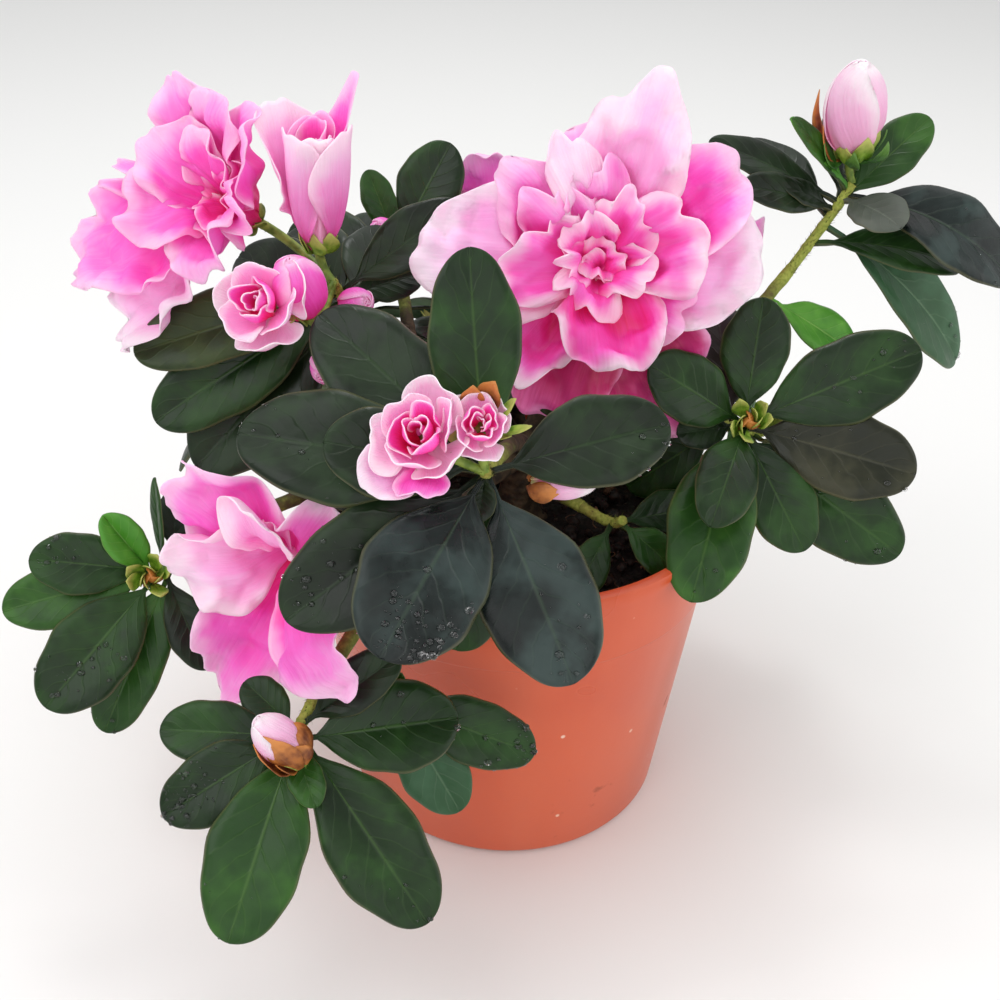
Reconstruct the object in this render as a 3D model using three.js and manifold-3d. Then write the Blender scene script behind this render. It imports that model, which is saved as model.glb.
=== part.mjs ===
// Potted azalea in flower: a plastic pot of compost, a short trunk, boughs that fork from it, whorls of
// leaves at the ends of the boughs, double blooms and buds. Every piece is a closed solid of its own.
// Millimetres, +Z up. The origin is the centre of the pot's flat underside, and the viewer stands at -Y.
import * as THREE from "three";
import { mergeVertices } from "three/addons/utils/BufferGeometryUtils.js";
import Module from "manifold-3d";

const wasm = await Module();
wasm.setup();

// Driving dimensions
const POT_HEIGHT = 76.5;
const RIM_RADIUS = 45;
const BASE_RADIUS = 36.5;
const COLLAR_HEIGHT = 17.2;
const WALL = 1.2;
const COMPOST_BELOW_RIM = 8.5;
const TRUNK_RADIUS = 4.2;
const TRUNK_HEIGHT = 19;
const BOUGH_RADIUS = 2.1;
const TWIG_RADIUS = 1.15;
const STALK_RADIUS = 0.8;
const STEM_LENGTH = 12;
const CLEARANCE = 0.3;
const LEAF_THICKNESS = 0.8;
const PETAL_THICKNESS = 0.9;

const point = (x, y, z) => new THREE.Vector3(x, y, z);
const sinDeg = (angle) => Math.sin(THREE.MathUtils.degToRad(angle));
const cosDeg = (angle) => Math.cos(THREE.MathUtils.degToRad(angle));
const range = (count) => Array.from({ length: count }, (_, i) => i);

// A repeatable number from 0 to 1 for each whole number asked for
function chance(number) {
  const wave = Math.sin(number * 12.9898 + 4.1414) * 43758.5453;
  return wave - Math.floor(wave);
}

// A solid from a three.js geometry, once its shared corners are merged
function solidOf(geometry) {
  const bare = geometry.clone();
  bare.deleteAttribute("normal");
  bare.deleteAttribute("uv");
  const merged = mergeVertices(bare, 1e-4);
  return new wasm.Manifold(
    new wasm.Mesh({
      numProp: 3,
      vertProperties: merged.attributes.position.array,
      triVerts: new Uint32Array(merged.index.array),
    }),
  );
}

// A closed skin over rings of corners, each ring turning anticlockwise seen from the last point
function skin(rings, first, last) {
  const sides = rings[0].length;
  const corners = [...rings.flat(), first, last];
  const start = corners.length - 2;
  const end = corners.length - 1;
  const top = (rings.length - 1) * sides;
  const triangles = [];
  for (const side of range(sides)) {
    const next = (side + 1) % sides;
    triangles.push(start, next, side);
    triangles.push(end, top + side, top + next);
    for (const ring of range(rings.length - 1)) {
      const a = ring * sides + side;
      const b = ring * sides + next;
      triangles.push(a, b, b + sides);
      triangles.push(a, b + sides, a + sides);
    }
  }
  const geometry = new THREE.BufferGeometry().setFromPoints(corners);
  geometry.setIndex(triangles);
  return solidOf(geometry);
}

// Joining keeps the largest shell, so loose scraps go
function whole(solid) {
  return solid
    .decompose()
    .reduce((best, shell) => (shell.volume() > best.volume() ? shell : best));
}

function fused(solids) {
  return whole(wasm.Manifold.union(solids));
}

function geometryOf(solid) {
  const mesh = solid.getMesh();
  const geometry = new THREE.BufferGeometry();
  geometry.setAttribute("position", new THREE.BufferAttribute(mesh.vertProperties, 3));
  geometry.setIndex(new THREE.BufferAttribute(mesh.triVerts, 1));
  geometry.computeVertexNormals();
  return geometry;
}

const FINISHES = {
  plastic: new THREE.MeshStandardMaterial({ color: 0xc4583a, roughness: 0.35 }),
  compost: new THREE.MeshStandardMaterial({ color: 0x17100d, roughness: 0.95 }),
  bark: new THREE.MeshStandardMaterial({ color: 0x6b5a35, roughness: 0.85 }),
  leaf: new THREE.MeshStandardMaterial({ color: 0x1f3a24, roughness: 0.35 }),
  petal: new THREE.MeshStandardMaterial({ color: 0xf277bd, roughness: 0.6 }),
};

const azalea = new THREE.Group();
const placed = [];

function place(name, finish, solid) {
  const mesh = new THREE.Mesh(geometryOf(solid), FINISHES[finish]);
  mesh.name = name;
  azalea.add(mesh);
  placed.push({ name, solid, box: solid.boundingBox() });
}

// Whether a solid touches any piece placed so far
function touches(solid) {
  const { min, max } = solid.boundingBox();
  const near = ({ box }) => [0, 1, 2].every((i) => box.min[i] <= max[i] && min[i] <= box.max[i]);
  return placed.some((piece) => near(piece) && !piece.solid.intersect(solid).isEmpty());
}

// Pot: a turned shell with a lip, a collar, a tapering body and drain holes round its base
const LIP_WIDTH = 2.6;
const COLLAR_STEP = 0.7;
const COLLAR_TAPER = 1.5;
const FOOT_ROUND = 1.5;
const FLOOR = 1.8;
const DRAIN_HOLES = 6;
const DRAIN_RADIUS = 4;
const DRAIN_CIRCLE = 23;
const POT_SIDES = 40;
const COLLAR_RADIUS = RIM_RADIUS - COLLAR_TAPER;
const BODY_TOP_RADIUS = COLLAR_RADIUS - COLLAR_STEP;
const BODY_TOP = POT_HEIGHT - COLLAR_HEIGHT - COLLAR_STEP;

function turned(profile, sides) {
  const outline = profile.map(([radius, height]) => new THREE.Vector2(radius, height));
  return solidOf(new THREE.LatheGeometry(outline, sides).rotateX(Math.PI / 2));
}

function drill(turn) {
  const hole = new THREE.CylinderGeometry(DRAIN_RADIUS, DRAIN_RADIUS, FLOOR * 4, 12);
  hole.rotateX(Math.PI / 2);
  hole.translate(DRAIN_CIRCLE * cosDeg(turn), DRAIN_CIRCLE * sinDeg(turn), 0);
  return solidOf(hole);
}

function pot() {
  const shell = turned(
    [
      [0, 0],
      [BASE_RADIUS - FOOT_ROUND, 0],
      [BASE_RADIUS, FOOT_ROUND],
      [BODY_TOP_RADIUS, BODY_TOP],
      [COLLAR_RADIUS, BODY_TOP + COLLAR_STEP],
      [RIM_RADIUS, POT_HEIGHT - 1],
      [RIM_RADIUS - 0.6, POT_HEIGHT],
      [RIM_RADIUS - LIP_WIDTH, POT_HEIGHT],
      [BODY_TOP_RADIUS - WALL, BODY_TOP],
      [BASE_RADIUS - WALL, FLOOR],
      [0, FLOOR],
    ],
    POT_SIDES,
  );
  const drills = range(DRAIN_HOLES).map((hole) => drill((hole / DRAIN_HOLES) * 360));
  return shell.subtract(wasm.Manifold.union(drills));
}

// Compost: fills the pot from its floor to a little below the rim, a shade higher in the middle
const COMPOST_TOP = POT_HEIGHT - COMPOST_BELOW_RIM;
const COMPOST_FALL = 1.5;
const COMPOST_SIDES = 32;

function compost() {
  const floorRadius = BASE_RADIUS - WALL - 0.5;
  const topRadius = BODY_TOP_RADIUS - WALL - 0.5;
  return turned(
    [
      [0, FLOOR + CLEARANCE],
      [floorRadius, FLOOR + CLEARANCE],
      [topRadius, BODY_TOP],
      [topRadius, COMPOST_TOP - COMPOST_FALL],
      [topRadius * 0.6, COMPOST_TOP],
      [0, COMPOST_TOP],
    ],
    COMPOST_SIDES,
  );
}

// Trunk: a short leaning stub with a flared foot, cut flat where it meets the compost
const TRUNK_FLARE = 2.6;
const TRUNK_SIDES = 10;
const TRUNK_FOOT = point(0, 0, COMPOST_TOP + CLEARANCE);
const TRUNK_TOP = point(1.5, -1, COMPOST_TOP + TRUNK_HEIGHT);

function trunk(grow = 0) {
  const rings = [0, 0.12, 0.35, 0.9, 1].map((share) => {
    const centre = TRUNK_FOOT.clone().lerp(TRUNK_TOP, share).add(point(0, 0, grow * share));
    const taper = share === 1 ? 0.6 : 1 - 0.12 * share;
    const flare = TRUNK_FLARE * Math.exp(-share * 9);
    return range(TRUNK_SIDES).map((side) => {
      const turn = (side / TRUNK_SIDES) * 360;
      const radius = TRUNK_RADIUS * taper * (1 + 0.08 * cosDeg(turn * 3 + 40)) + flare + grow;
      return centre.clone().add(point(radius * cosDeg(turn), radius * sinDeg(turn), 0));
    });
  });
  return skin(rings, TRUNK_FOOT, TRUNK_TOP.clone().add(point(0, 0, grow)));
}

// A round tapering limb along a stretch of a curve. grow makes it fatter, to cut its neighbours clear.
function limb(curve, [from, to], [startRadius, endRadius], { sides = 5, steps = 5, grow = 0 } = {}) {
  const shares = range(steps + 1).map((i) => i / steps);
  const centres = shares.map((share) => curve.getPointAt(from + (to - from) * share));
  const path = new THREE.CatmullRomCurve3(centres);
  const frames = path.computeFrenetFrames(steps, false);
  centres[0].addScaledVector(frames.tangents[0], -grow);
  centres[steps].addScaledVector(frames.tangents[steps], grow);
  const rings = shares.map((share, i) => {
    const radius = startRadius + (endRadius - startRadius) * share + grow;
    return range(sides).map((side) => {
      const turn = (side / sides) * 360;
      return centres[i]
        .clone()
        .addScaledVector(frames.normals[i], cosDeg(turn) * radius)
        .addScaledVector(frames.binormals[i], sinDeg(turn) * radius);
    });
  });
  return skin(rings, centres[0], centres[steps]);
}

// The plant's plan. A shoot springs from the trunk or from another shoot, at a share of its length, and
// ends at its tip; bow moves the middle of its path. Its whorl faces some degrees to the right of the
// viewer and some degrees above level. A leaf has its direction on the whorl as on a clock face, in
// degrees, its length, its lift out of the whorl's plane, and where it needs them: down, how far below
// the tip it is joined; wide, its width as a share of its length; arch, how far it bends over; twist.
const leaf = (clock, length, lift, more = {}) => ({
  clock,
  length,
  lift,
  down: 2,
  wide: 0.52,
  arch: 18,
  twist: 0,
  ...more,
});

// A whorl with no leaf placed by hand: older leaves below, longer and lower, by the golden angle
const GOLDEN_ANGLE = 137.5;

function grownWhorl(seed, count, length) {
  return range(count).map((i) => {
    const age = 1 - i / count;
    return leaf(
      GOLDEN_ANGLE * i + 30 * chance(seed + i),
      length * (0.62 + 0.38 * age) * (0.9 + 0.2 * chance(seed + 50 + i)),
      32 - 40 * age,
      { down: 1 + 8 * age, twist: 20 * (chance(seed + 90 + i) - 0.5) },
    );
  });
}

const SHOOTS = {
  front: {
    from: ["trunk", 0.94],
    tip: [-6, -50, 109],
    bow: [0, 0, 6],
    face: [0, 42],
    leaves: [
      leaf(352, 38, 24, { wide: 0.42, arch: 8, down: 1 }),
      leaf(276, 44, 8, { wide: 0.46, down: 3 }),
      leaf(277, 28, 22, { wide: 0.56, down: 1 }),
      leaf(229, 43, 12, { wide: 0.44, down: 4.5 }),
      leaf(206, 37, 20, { wide: 0.6, down: 2 }),
      leaf(155, 39, 8, { wide: 0.52, down: 2.5 }),
      leaf(76, 33, 8, { wide: 0.5, down: 2 }),
      leaf(189, 35, -18, { wide: 0.48, down: 6 }),
      leaf(311, 42, 6, { wide: 0.44, down: 5 }),
      leaf(186, 9, 22, { wide: 0.6, down: 2 }),
    ],
  },
  front_low: {
    from: ["trunk", 0.78],
    tip: [-39, -69, 62],
    bow: [-4, -14, 24],
    face: [10, 44],
    leaves: [
      leaf(277, 24, 2, { wide: 0.48 }),
      leaf(243, 27, 4, { wide: 0.48, down: 2.5 }),
      leaf(202, 38, 12, { wide: 0.46, down: 3.5 }),
      leaf(149, 41, 10, { wide: 0.42, down: 3 }),
      leaf(87, 30, 6, { wide: 0.57, down: 1 }),
      leaf(318, 13, 0, { wide: 0.6, down: 3 }),
      leaf(60, 22, 24, { wide: 0.42, down: 4 }),
      leaf(164, 13, 30, { wide: 0.5, down: 1 }),
    ],
  },
  front_mid: {
    from: ["front_low", 0.62],
    tip: [-23, -56, 61],
    bow: [2, -4, 2],
    face: [6, 42],
    leaves: [
      leaf(112, 30, 4, { wide: 0.42 }),
      leaf(151, 27, 0, { wide: 0.48, down: 4 }),
      leaf(28, 8, 56, { wide: 0.5, down: 1 }),
    ],
  },
  left_low: {
    from: ["trunk", 0.5],
    tip: [-73, -29, 68],
    bow: [0, 0, 24],
    face: [16, 38],
    leaves: [
      leaf(284, 25, 10, { wide: 0.5 }),
      leaf(262, 33, 4, { wide: 0.4, down: 4 }),
      leaf(225, 34, 10, { wide: 0.5, down: 2 }),
      leaf(209, 37, 0, { wide: 0.36, down: 5.5 }),
      leaf(164, 22, 8, { wide: 0.42, down: 3 }),
      leaf(327, 16, 30, { wide: 0.5, down: 0.5 }),
      leaf(1, 19, 30, { wide: 0.26, twist: 60, down: 3 }),
      leaf(3, 15, 0, { wide: 0.42, down: 6 }),
    ],
  },
  left_top: {
    from: ["trunk", 0.72],
    tip: [-38, 0, 121],
    bow: [0, 0, -8],
    face: [4, 40],
    leaves: [
      leaf(252, 42, 10, { wide: 0.36, down: 3 }),
      leaf(237, 45, 4, { wide: 0.38, down: 5 }),
      leaf(226, 45, 0, { wide: 0.48, down: 7.5 }),
      leaf(54, 30, 18, { wide: 0.4, down: 3 }),
      leaf(66, 17, -6, { wide: 0.5, down: 4.5 }),
      leaf(300, 32, -20, { wide: 0.5, down: 6 }),
      leaf(330, 30, -24, { wide: 0.5, down: 7 }),
      leaf(20, 26, -24, { wide: 0.5, down: 6 }),
    ],
  },
  right: {
    from: ["trunk", 0.62],
    tip: [47.5, -3, 94.5],
    bow: [0, 0, 6],
    face: [-6, 38],
    leaves: [
      leaf(1, 26, 21, { wide: 0.54, arch: 10, down: 1 }),
      leaf(349, 27, 2, { wide: 0.5, down: 4 }),
      leaf(300, 23, 8, { wide: 0.54, down: 2 }),
      leaf(63, 39, 16, { wide: 0.45, down: 2 }),
      leaf(101, 37, 12, { wide: 0.49, down: 2.5 }),
      leaf(122, 45, 2, { wide: 0.4, down: 5 }),
      leaf(150, 29, 10, { wide: 0.5, down: 2 }),
      leaf(187, 23, 26, { wide: 0.44, down: 1 }),
      leaf(188, 42, 42, { wide: 0.42, arch: 40, down: 4 }),
      leaf(48, 32, -6, { wide: 0.3, down: 7 }),
      leaf(252, 14, 34, { wide: 0.6, down: 3 }),
    ],
  },
  right_top: {
    from: ["right", 0.4],
    tip: [72, 42, 131],
    bow: [0, 0, -16],
    stem: 24,
    turn: 2,
    face: [10, 56],
    leaves: [
      leaf(66, 26, 24, { wide: 0.4, arch: 4, down: 5 }),
      leaf(129, 42, 20, { wide: 0.43, arch: 50, down: 3 }),
      leaf(152, 42, 4, { wide: 0.38, arch: 30, down: 7 }),
      leaf(160, 15, 40, { wide: 0.8, down: 3 }),
      leaf(91, 33, -2, { wide: 0.3, down: 17 }),
      leaf(294, 32, 18, { wide: 0.32, down: 4 }),
      leaf(276, 24, 26, { wide: 0.4, down: 6 }),
      leaf(297, 27, 38, { wide: 0.22, down: 2.5 }),
      leaf(303, 22, 46, { wide: 0.28, down: 1 }),
      leaf(20, 30, 6, { wide: 0.45, down: 5 }),
      leaf(335, 30, -4, { wide: 0.45, down: 8 }),
    ],
  },
  back_left: {
    from: ["left_top", 0.5],
    tip: [-29, 37, 116],
    bow: [0, 0, -4],
    face: [0, 46],
    leaves: [
      leaf(30, 25, 23, { wide: 0.58, arch: 10, down: 1 }),
      leaf(337, 18, 26, { wide: 0.42, arch: 10, down: 2 }),
      leaf(57, 24, 10, { wide: 0.36, down: 3 }),
      leaf(290, 30, -10, { wide: 0.48, down: 4 }),
      leaf(250, 28, -16, { wide: 0.48, down: 6 }),
      leaf(320, 34, -30, { wide: 0.48, down: 8 }),
      leaf(10, 34, -34, { wide: 0.48, down: 7 }),
    ],
  },
  top: {
    from: ["trunk", 0.99],
    tip: [15, 18, 110],
    bow: [0, 0, 0],
    face: [0, 70],
    leaves: grownWhorl(400, 8, 34),
  },
  middle: {
    from: ["trunk", 0.9],
    tip: [-18, 36, 94],
    bow: [0, 0, 0],
    face: [-140, 62],
    leaves: grownWhorl(455, 8, 32),
  },
  left: {
    from: ["left_low", 0.42],
    tip: [-33, -28, 84],
    bow: [0, 0, 4],
    face: [-30, 60],
    leaves: [
      leaf(300, 24, 0, { wide: 0.5 }),
      leaf(225, 18, -10, { wide: 0.5, down: 5 }),
    ],
  },
  low_right: {
    from: ["trunk", 0.4],
    tip: [22, -18, 79],
    bow: [0, 0, 4],
    face: [30, 50],
    leaves: [
      leaf(150, 16, 16, { wide: 0.6, arch: 30, down: 1 }),
      leaf(95, 22, 4, { wide: 0.46 }),
      leaf(230, 20, 6, { wide: 0.42, down: 3 }),
    ],
  },
  back: {
    from: ["trunk", 0.8],
    tip: [-6, 58, 92],
    bow: [0, 0, 4],
    face: [172, 52],
    leaves: grownWhorl(507, 11, 38),
  },
  back_right: {
    from: ["back", 0.4],
    tip: [42, 50, 98],
    bow: [0, 0, 2],
    face: [140, 56],
    leaves: grownWhorl(611, 10, 36),
  },
  left_back: {
    from: ["back_left", 0.35],
    tip: [-62, 26, 94],
    bow: [0, 0, 6],
    face: [-112, 48],
    leaves: grownWhorl(722, 10, 34),
  },
  back_low: {
    from: ["back", 0.55],
    tip: [-34, 58, 70],
    bow: [0, 0, 14],
    face: [-150, 34],
    leaves: grownWhorl(833, 9, 32),
  },
  right_low: {
    from: ["right", 0.45],
    tip: [60, 34, 72],
    bow: [0, 0, 18],
    face: [100, 36],
    leaves: grownWhorl(944, 9, 32),
  },
};

// The way a whorl or a bloom faces, and the directions of twelve and three o'clock on it
function facing([right, above]) {
  const axis = point(sinDeg(right) * cosDeg(above), -cosDeg(right) * cosDeg(above), sinDeg(above));
  const twelve = point(0, 0, 1).addScaledVector(axis, -axis.z).normalize();
  const three = twelve.clone().cross(axis);
  return { axis, twelve, three };
}

// Each shoot's path, from where it springs to its tip, where it turns the way its whorl faces
const TURN_LENGTH = 9;

function plotPaths() {
  const found = { trunk: new THREE.LineCurve3(TRUNK_FOOT, TRUNK_TOP) };
  for (const [name, { from, tip, bow, face, turn = TURN_LENGTH }] of Object.entries(SHOOTS)) {
    const [parent, share] = from;
    const start = found[parent].getPointAt(share);
    const end = point(...tip);
    const middle = start.clone().lerp(end, 0.5).add(point(...bow));
    const before = end.clone().addScaledVector(facing(face).axis, -turn);
    found[name] = new THREE.CubicBezierCurve3(start, middle, before, end);
  }
  return found;
}

const PATHS = plotPaths();
const stemLength = (name) => SHOOTS[name].stem ?? STEM_LENGTH;
const stemStart = (name) => 1 - stemLength(name) / PATHS[name].getLength();

// Leaf blade: a narrow stalk, then a pointed oval with its edges raised, arching over along its length
const LEAF_STATIONS = [0, 0.13, 0.48, 0.86];
const LEAF_STALK_SHARE = 0.13;
const LEAF_STALK_RADIUS = 0.7;
const LEAF_FOLD = 0.22;

function ovalHalfWidth(share) {
  const warped = Math.pow(share, 1.15);
  return Math.pow(4 * warped * (1 - warped), 0.85 - 0.35 * share);
}

function blade(root, face, { clock, length, lift, wide, arch, twist }, grow = 0) {
  const { axis, twelve, three } = facing(face);
  const out = twelve.clone().multiplyScalar(cosDeg(clock)).addScaledVector(three, sinDeg(clock));
  const direction = (angle) =>
    out.clone().multiplyScalar(cosDeg(angle)).addScaledVector(axis, sinDeg(angle));
  const centre = root.clone().addScaledVector(out, LEAF_STALK_RADIUS / 2);
  const foot = centre.clone();
  let before = 0;
  const walk = (share) => {
    const angle = lift - arch * ((before + share) / 2);
    centre.addScaledVector(direction(angle), length * (share - before));
    before = share;
    return centre.clone();
  };
  const rings = LEAF_STATIONS.map((share) => {
    const at = walk(share);
    const ahead = direction(lift - arch * share);
    const normal = direction(lift - arch * share + 90).applyAxisAngle(
      ahead,
      THREE.MathUtils.degToRad(twist),
    );
    const side = ahead.clone().cross(normal);
    const along = (share - LEAF_STALK_SHARE) / (1 - LEAF_STALK_SHARE);
    const oval = along > 0 ? (ovalHalfWidth(along) * length * wide) / 2 : 0;
    const halfWidth = Math.max(oval, LEAF_STALK_RADIUS) + grow;
    const halfDepth = (along > 0 ? LEAF_THICKNESS / 2 : LEAF_STALK_RADIUS) + grow;
    const raised = along > 0 ? LEAF_FOLD * halfWidth : 0;
    return [
      at.clone().addScaledVector(normal, halfDepth),
      at.clone().addScaledVector(side, halfWidth).addScaledVector(normal, raised),
      at.clone().addScaledVector(normal, -halfDepth),
      at.clone().addScaledVector(side, -halfWidth).addScaledVector(normal, raised),
    ];
  });
  const tip = walk(1).addScaledVector(direction(lift - arch), grow);
  return skin(rings, foot, tip);
}

// Corolla: one frilled cup of petals joined at their feet, as a thin wall that follows a flaring profile
const CUP_SHARES = [0.1, 0.5, 1];
const CUP_FOOT = 1.6;

function corolla(base, face, sizes, grow = 0) {
  const { reach, depth, lobes, notch, frill, turn = 0, sweep = 105, flare = 1.3 } = sizes;
  const { axis, twelve, three } = facing(face);
  const corners = lobes * 4;
  const radius = (share) => CUP_FOOT + (reach - CUP_FOOT) * Math.pow(share, flare);
  const height = (share) => (depth * sinDeg(sweep * share)) / Math.max(sinDeg(sweep), 0.85);
  const ring = (share, offset) => {
    const step = 0.01;
    const across = radius(share) - radius(share - step);
    const rise = height(share) - height(share - step);
    const scale = offset / Math.hypot(across, rise);
    return range(corners).map((corner) => {
      const angle = (corner / corners) * 360 + turn;
      const between = (1 - cosDeg(lobes * (angle - turn))) / 2;
      const edge = radius(share) * (1 - notch * between * Math.pow(share, 3));
      const wave = frill * reach * share * share * sinDeg(angle * 7 + 60 * cosDeg(angle * 2));
      const out = edge - rise * scale + (share === 1 ? grow : 0);
      return base
        .clone()
        .addScaledVector(axis, height(share) + wave + across * scale)
        .addScaledVector(twelve, out * cosDeg(angle))
        .addScaledVector(three, -out * sinDeg(angle));
    });
  };
  const thickness = PETAL_THICKNESS + grow;
  const outside = CUP_SHARES.map((share) => ring(share, -grow));
  const inside = CUP_SHARES.slice(1).reverse().map((share) => ring(share, thickness));
  const foot = base.clone().addScaledVector(axis, -grow);
  const throat = base.clone().addScaledVector(axis, height(CUP_SHARES[0]) + thickness);
  return skin([...outside, ...inside], foot, throat);
}

// Bud: petals still wrapped round each other, as a ridged oval that stands on its base
const BUD_RINGS = [0.07, 0.34, 0.68, 0.92];
const BUD_RIDGE = 0.1;

function bud(base, face, { length, radius, blunt = 0.7 }, grow = 0) {
  const { axis, twelve, three } = facing(face);
  const corners = 8;
  const rings = BUD_RINGS.map((share) => {
    const girth = radius * Math.pow(sinDeg(180 * share), blunt) + grow;
    return range(corners).map((corner) => {
      const angle = (corner / corners) * 360 + 40 * share;
      const out = girth * (1 + (corner % 2 ? BUD_RIDGE : -BUD_RIDGE));
      return base
        .clone()
        .addScaledVector(axis, length * share)
        .addScaledVector(twelve, out * cosDeg(angle))
        .addScaledVector(three, -out * sinDeg(angle));
    });
  });
  const foot = base.clone().addScaledVector(axis, -grow);
  return skin(rings, foot, base.clone().addScaledVector(axis, length + grow));
}

// Flowers: each has the shoot that bears it, the place of its base, the way it faces and its parts
const doubleFlower = (reach, turn) => [
  [corolla, { reach, depth: reach * 0.42, lobes: 5, notch: 0.2, frill: 0.05, turn }],
  [corolla, { reach: reach * 0.7, depth: reach * 0.6, lobes: 4, notch: 0.2, frill: 0.09, turn: turn + 36 }],
  [corolla, { reach: reach * 0.34, depth: reach * 0.66, lobes: 3, notch: 0.2, frill: 0.12, turn }],
];

const FLOWERS = {
  bud_front_large: {
    shoot: "front",
    base: [-14, -54, 115],
    face: [-14, 46],
    parts: [[bud, { length: 13, radius: 7.4, blunt: 0.45 }]],
  },
  bud_front_small: {
    shoot: "front",
    base: [-5, -53, 117],
    face: [6, 46],
    parts: [[bud, { length: 9, radius: 4.6, blunt: 0.45 }]],
  },
  bud_left_open: {
    shoot: "left_top",
    base: [-43, -20, 123],
    face: [-24, 36],
    parts: [[bud, { length: 14, radius: 7.8, blunt: 0.45 }]],
  },
  bud_left_closed: {
    shoot: "left_top",
    base: [-38, -14, 122],
    face: [-20, 66],
    parts: [[bud, { length: 14, radius: 3.6 }]],
  },
  bud_right_top: {
    shoot: "right_top",
    base: [70.5, 43, 136.5],
    face: [-30, 80],
    parts: [[bud, { length: 22, radius: 7.6 }]],
  },
  bud_front_low: {
    shoot: "front_low",
    base: [-40, -72, 65],
    face: [-34, 50],
    parts: [[bud, { length: 11, radius: 3.8 }]],
  },
  bloom_top: { shoot: "top", base: [13, 12, 120], face: [4, 30], parts: doubleFlower(36, -22) },
  bloom_left_top: {
    shoot: "left_top",
    base: [-54, 8, 130],
    face: [-40, 34],
    parts: doubleFlower(31, 40),
  },
  bloom_half_open: {
    shoot: "left_top",
    base: [-41, 2, 127],
    face: [15, 82],
    parts: [[corolla, { reach: 9, depth: 30, lobes: 4, notch: 0.15, frill: 0.1, sweep: 70, flare: 0.6 }]],
  },
  bloom_left: {
    shoot: "left",
    base: [-40, -31, 80],
    face: [-14, 8],
    parts: [[corolla, { reach: 26, depth: 13, lobes: 5, notch: 0.25, frill: 0.05, turn: 55, sweep: 80 }]],
  },
  bloom_back: { shoot: "back", base: [-4, 57, 101], face: [176, 40], parts: doubleFlower(28, 0) },
  bloom_back_right: {
    shoot: "back_right",
    base: [41, 49, 107],
    face: [125, 56],
    parts: doubleFlower(26, 30),
  },
};

const CALYX_LENGTH = 4;
const CALYX_RADIUS = 2;

function flower({ shoot, base, face, parts }, grow = 0) {
  const foot = point(...base);
  const { axis } = facing(face);
  const start = PATHS[shoot].getPointAt(1);
  const lead = foot.clone().addScaledVector(axis, -start.distanceTo(foot) / 2);
  const stalk = new THREE.QuadraticBezierCurve3(start, lead, foot);
  const calyx = new THREE.LineCurve3(
    foot.clone().addScaledVector(axis, -CALYX_LENGTH / 4),
    foot.clone().addScaledVector(axis, CALYX_LENGTH),
  );
  return fused([
    limb(stalk, [0, 1], [STALK_RADIUS, STALK_RADIUS * 1.3], { sides: 5, steps: 3, grow }),
    limb(calyx, [0, 1], [CALYX_RADIUS * 0.6, CALYX_RADIUS], { sides: 6, steps: 1, grow }),
    ...parts.map(([form, sizes]) => form(foot, face, sizes, grow)),
  ]);
}

// Limbs: the bough of each shoot, from where it springs to just short of its leafy stem
function bough(name, grow = 0) {
  const end = stemStart(name) - CLEARANCE / PATHS[name].getLength();
  const thick = SHOOTS[name].from[0] === "trunk" ? BOUGH_RADIUS : BOUGH_RADIUS * 0.8;
  return limb(PATHS[name], [0, end], [thick, TWIG_RADIUS * 1.15], { grow });
}

function stem(name, grow = 0) {
  const start = stemStart(name);
  return limb(PATHS[name], [start, 1], [TWIG_RADIUS, TWIG_RADIUS * 0.9], { sides: 5, steps: 3, grow });
}

// Spaces that limbs and flowers take, with their clearance. Each later piece is cut clear of them.
const spaces = [trunk(CLEARANCE)];

function clearOfSpaces(solid) {
  return whole(spaces.reduce((rest, space) => rest.subtract(space), solid));
}

place("pot", "plastic", pot());
place("compost", "compost", compost());
place("trunk", "bark", trunk());

for (const name of Object.keys(SHOOTS)) {
  place(`bough_${name}`, "bark", clearOfSpaces(bough(name)));
  spaces.push(bough(name, CLEARANCE));
}

for (const name of Object.keys(SHOOTS)) spaces.push(stem(name, CLEARANCE));

for (const [name, spec] of Object.entries(FLOWERS)) {
  place(name, "petal", clearOfSpaces(flower(spec)));
  spaces.push(flower(spec, CLEARANCE));
}

// Masses of leaves: a stem with its whorl. A leaf that would touch another piece is left off.
for (const [name, { face, leaves }] of Object.entries(SHOOTS)) {
  const length = PATHS[name].getLength();
  const parts = [stem(name)];
  for (const spec of leaves) {
    const root = PATHS[name].getPointAt(1 - (spec.down + 1) / length);
    if (!touches(blade(root, face, spec, CLEARANCE))) parts.push(blade(root, face, spec));
  }
  place(`foliage_${name}`, "leaf", fused(parts));
}

export default azalea;
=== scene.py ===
import math

import bpy
import numpy as np
from mathutils import Matrix, Vector, noise


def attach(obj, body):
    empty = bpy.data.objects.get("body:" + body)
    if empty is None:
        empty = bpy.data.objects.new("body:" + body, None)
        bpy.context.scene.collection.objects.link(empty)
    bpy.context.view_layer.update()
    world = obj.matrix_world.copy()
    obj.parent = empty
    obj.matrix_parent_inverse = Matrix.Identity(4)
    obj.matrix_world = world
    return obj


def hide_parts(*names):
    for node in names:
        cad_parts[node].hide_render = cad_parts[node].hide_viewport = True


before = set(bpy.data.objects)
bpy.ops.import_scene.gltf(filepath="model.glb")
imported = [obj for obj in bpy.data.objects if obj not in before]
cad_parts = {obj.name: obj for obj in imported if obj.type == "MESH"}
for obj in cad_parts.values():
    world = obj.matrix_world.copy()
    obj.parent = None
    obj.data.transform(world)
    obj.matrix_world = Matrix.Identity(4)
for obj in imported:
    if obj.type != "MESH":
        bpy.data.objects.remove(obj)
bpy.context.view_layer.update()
MM = 0.001

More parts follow.
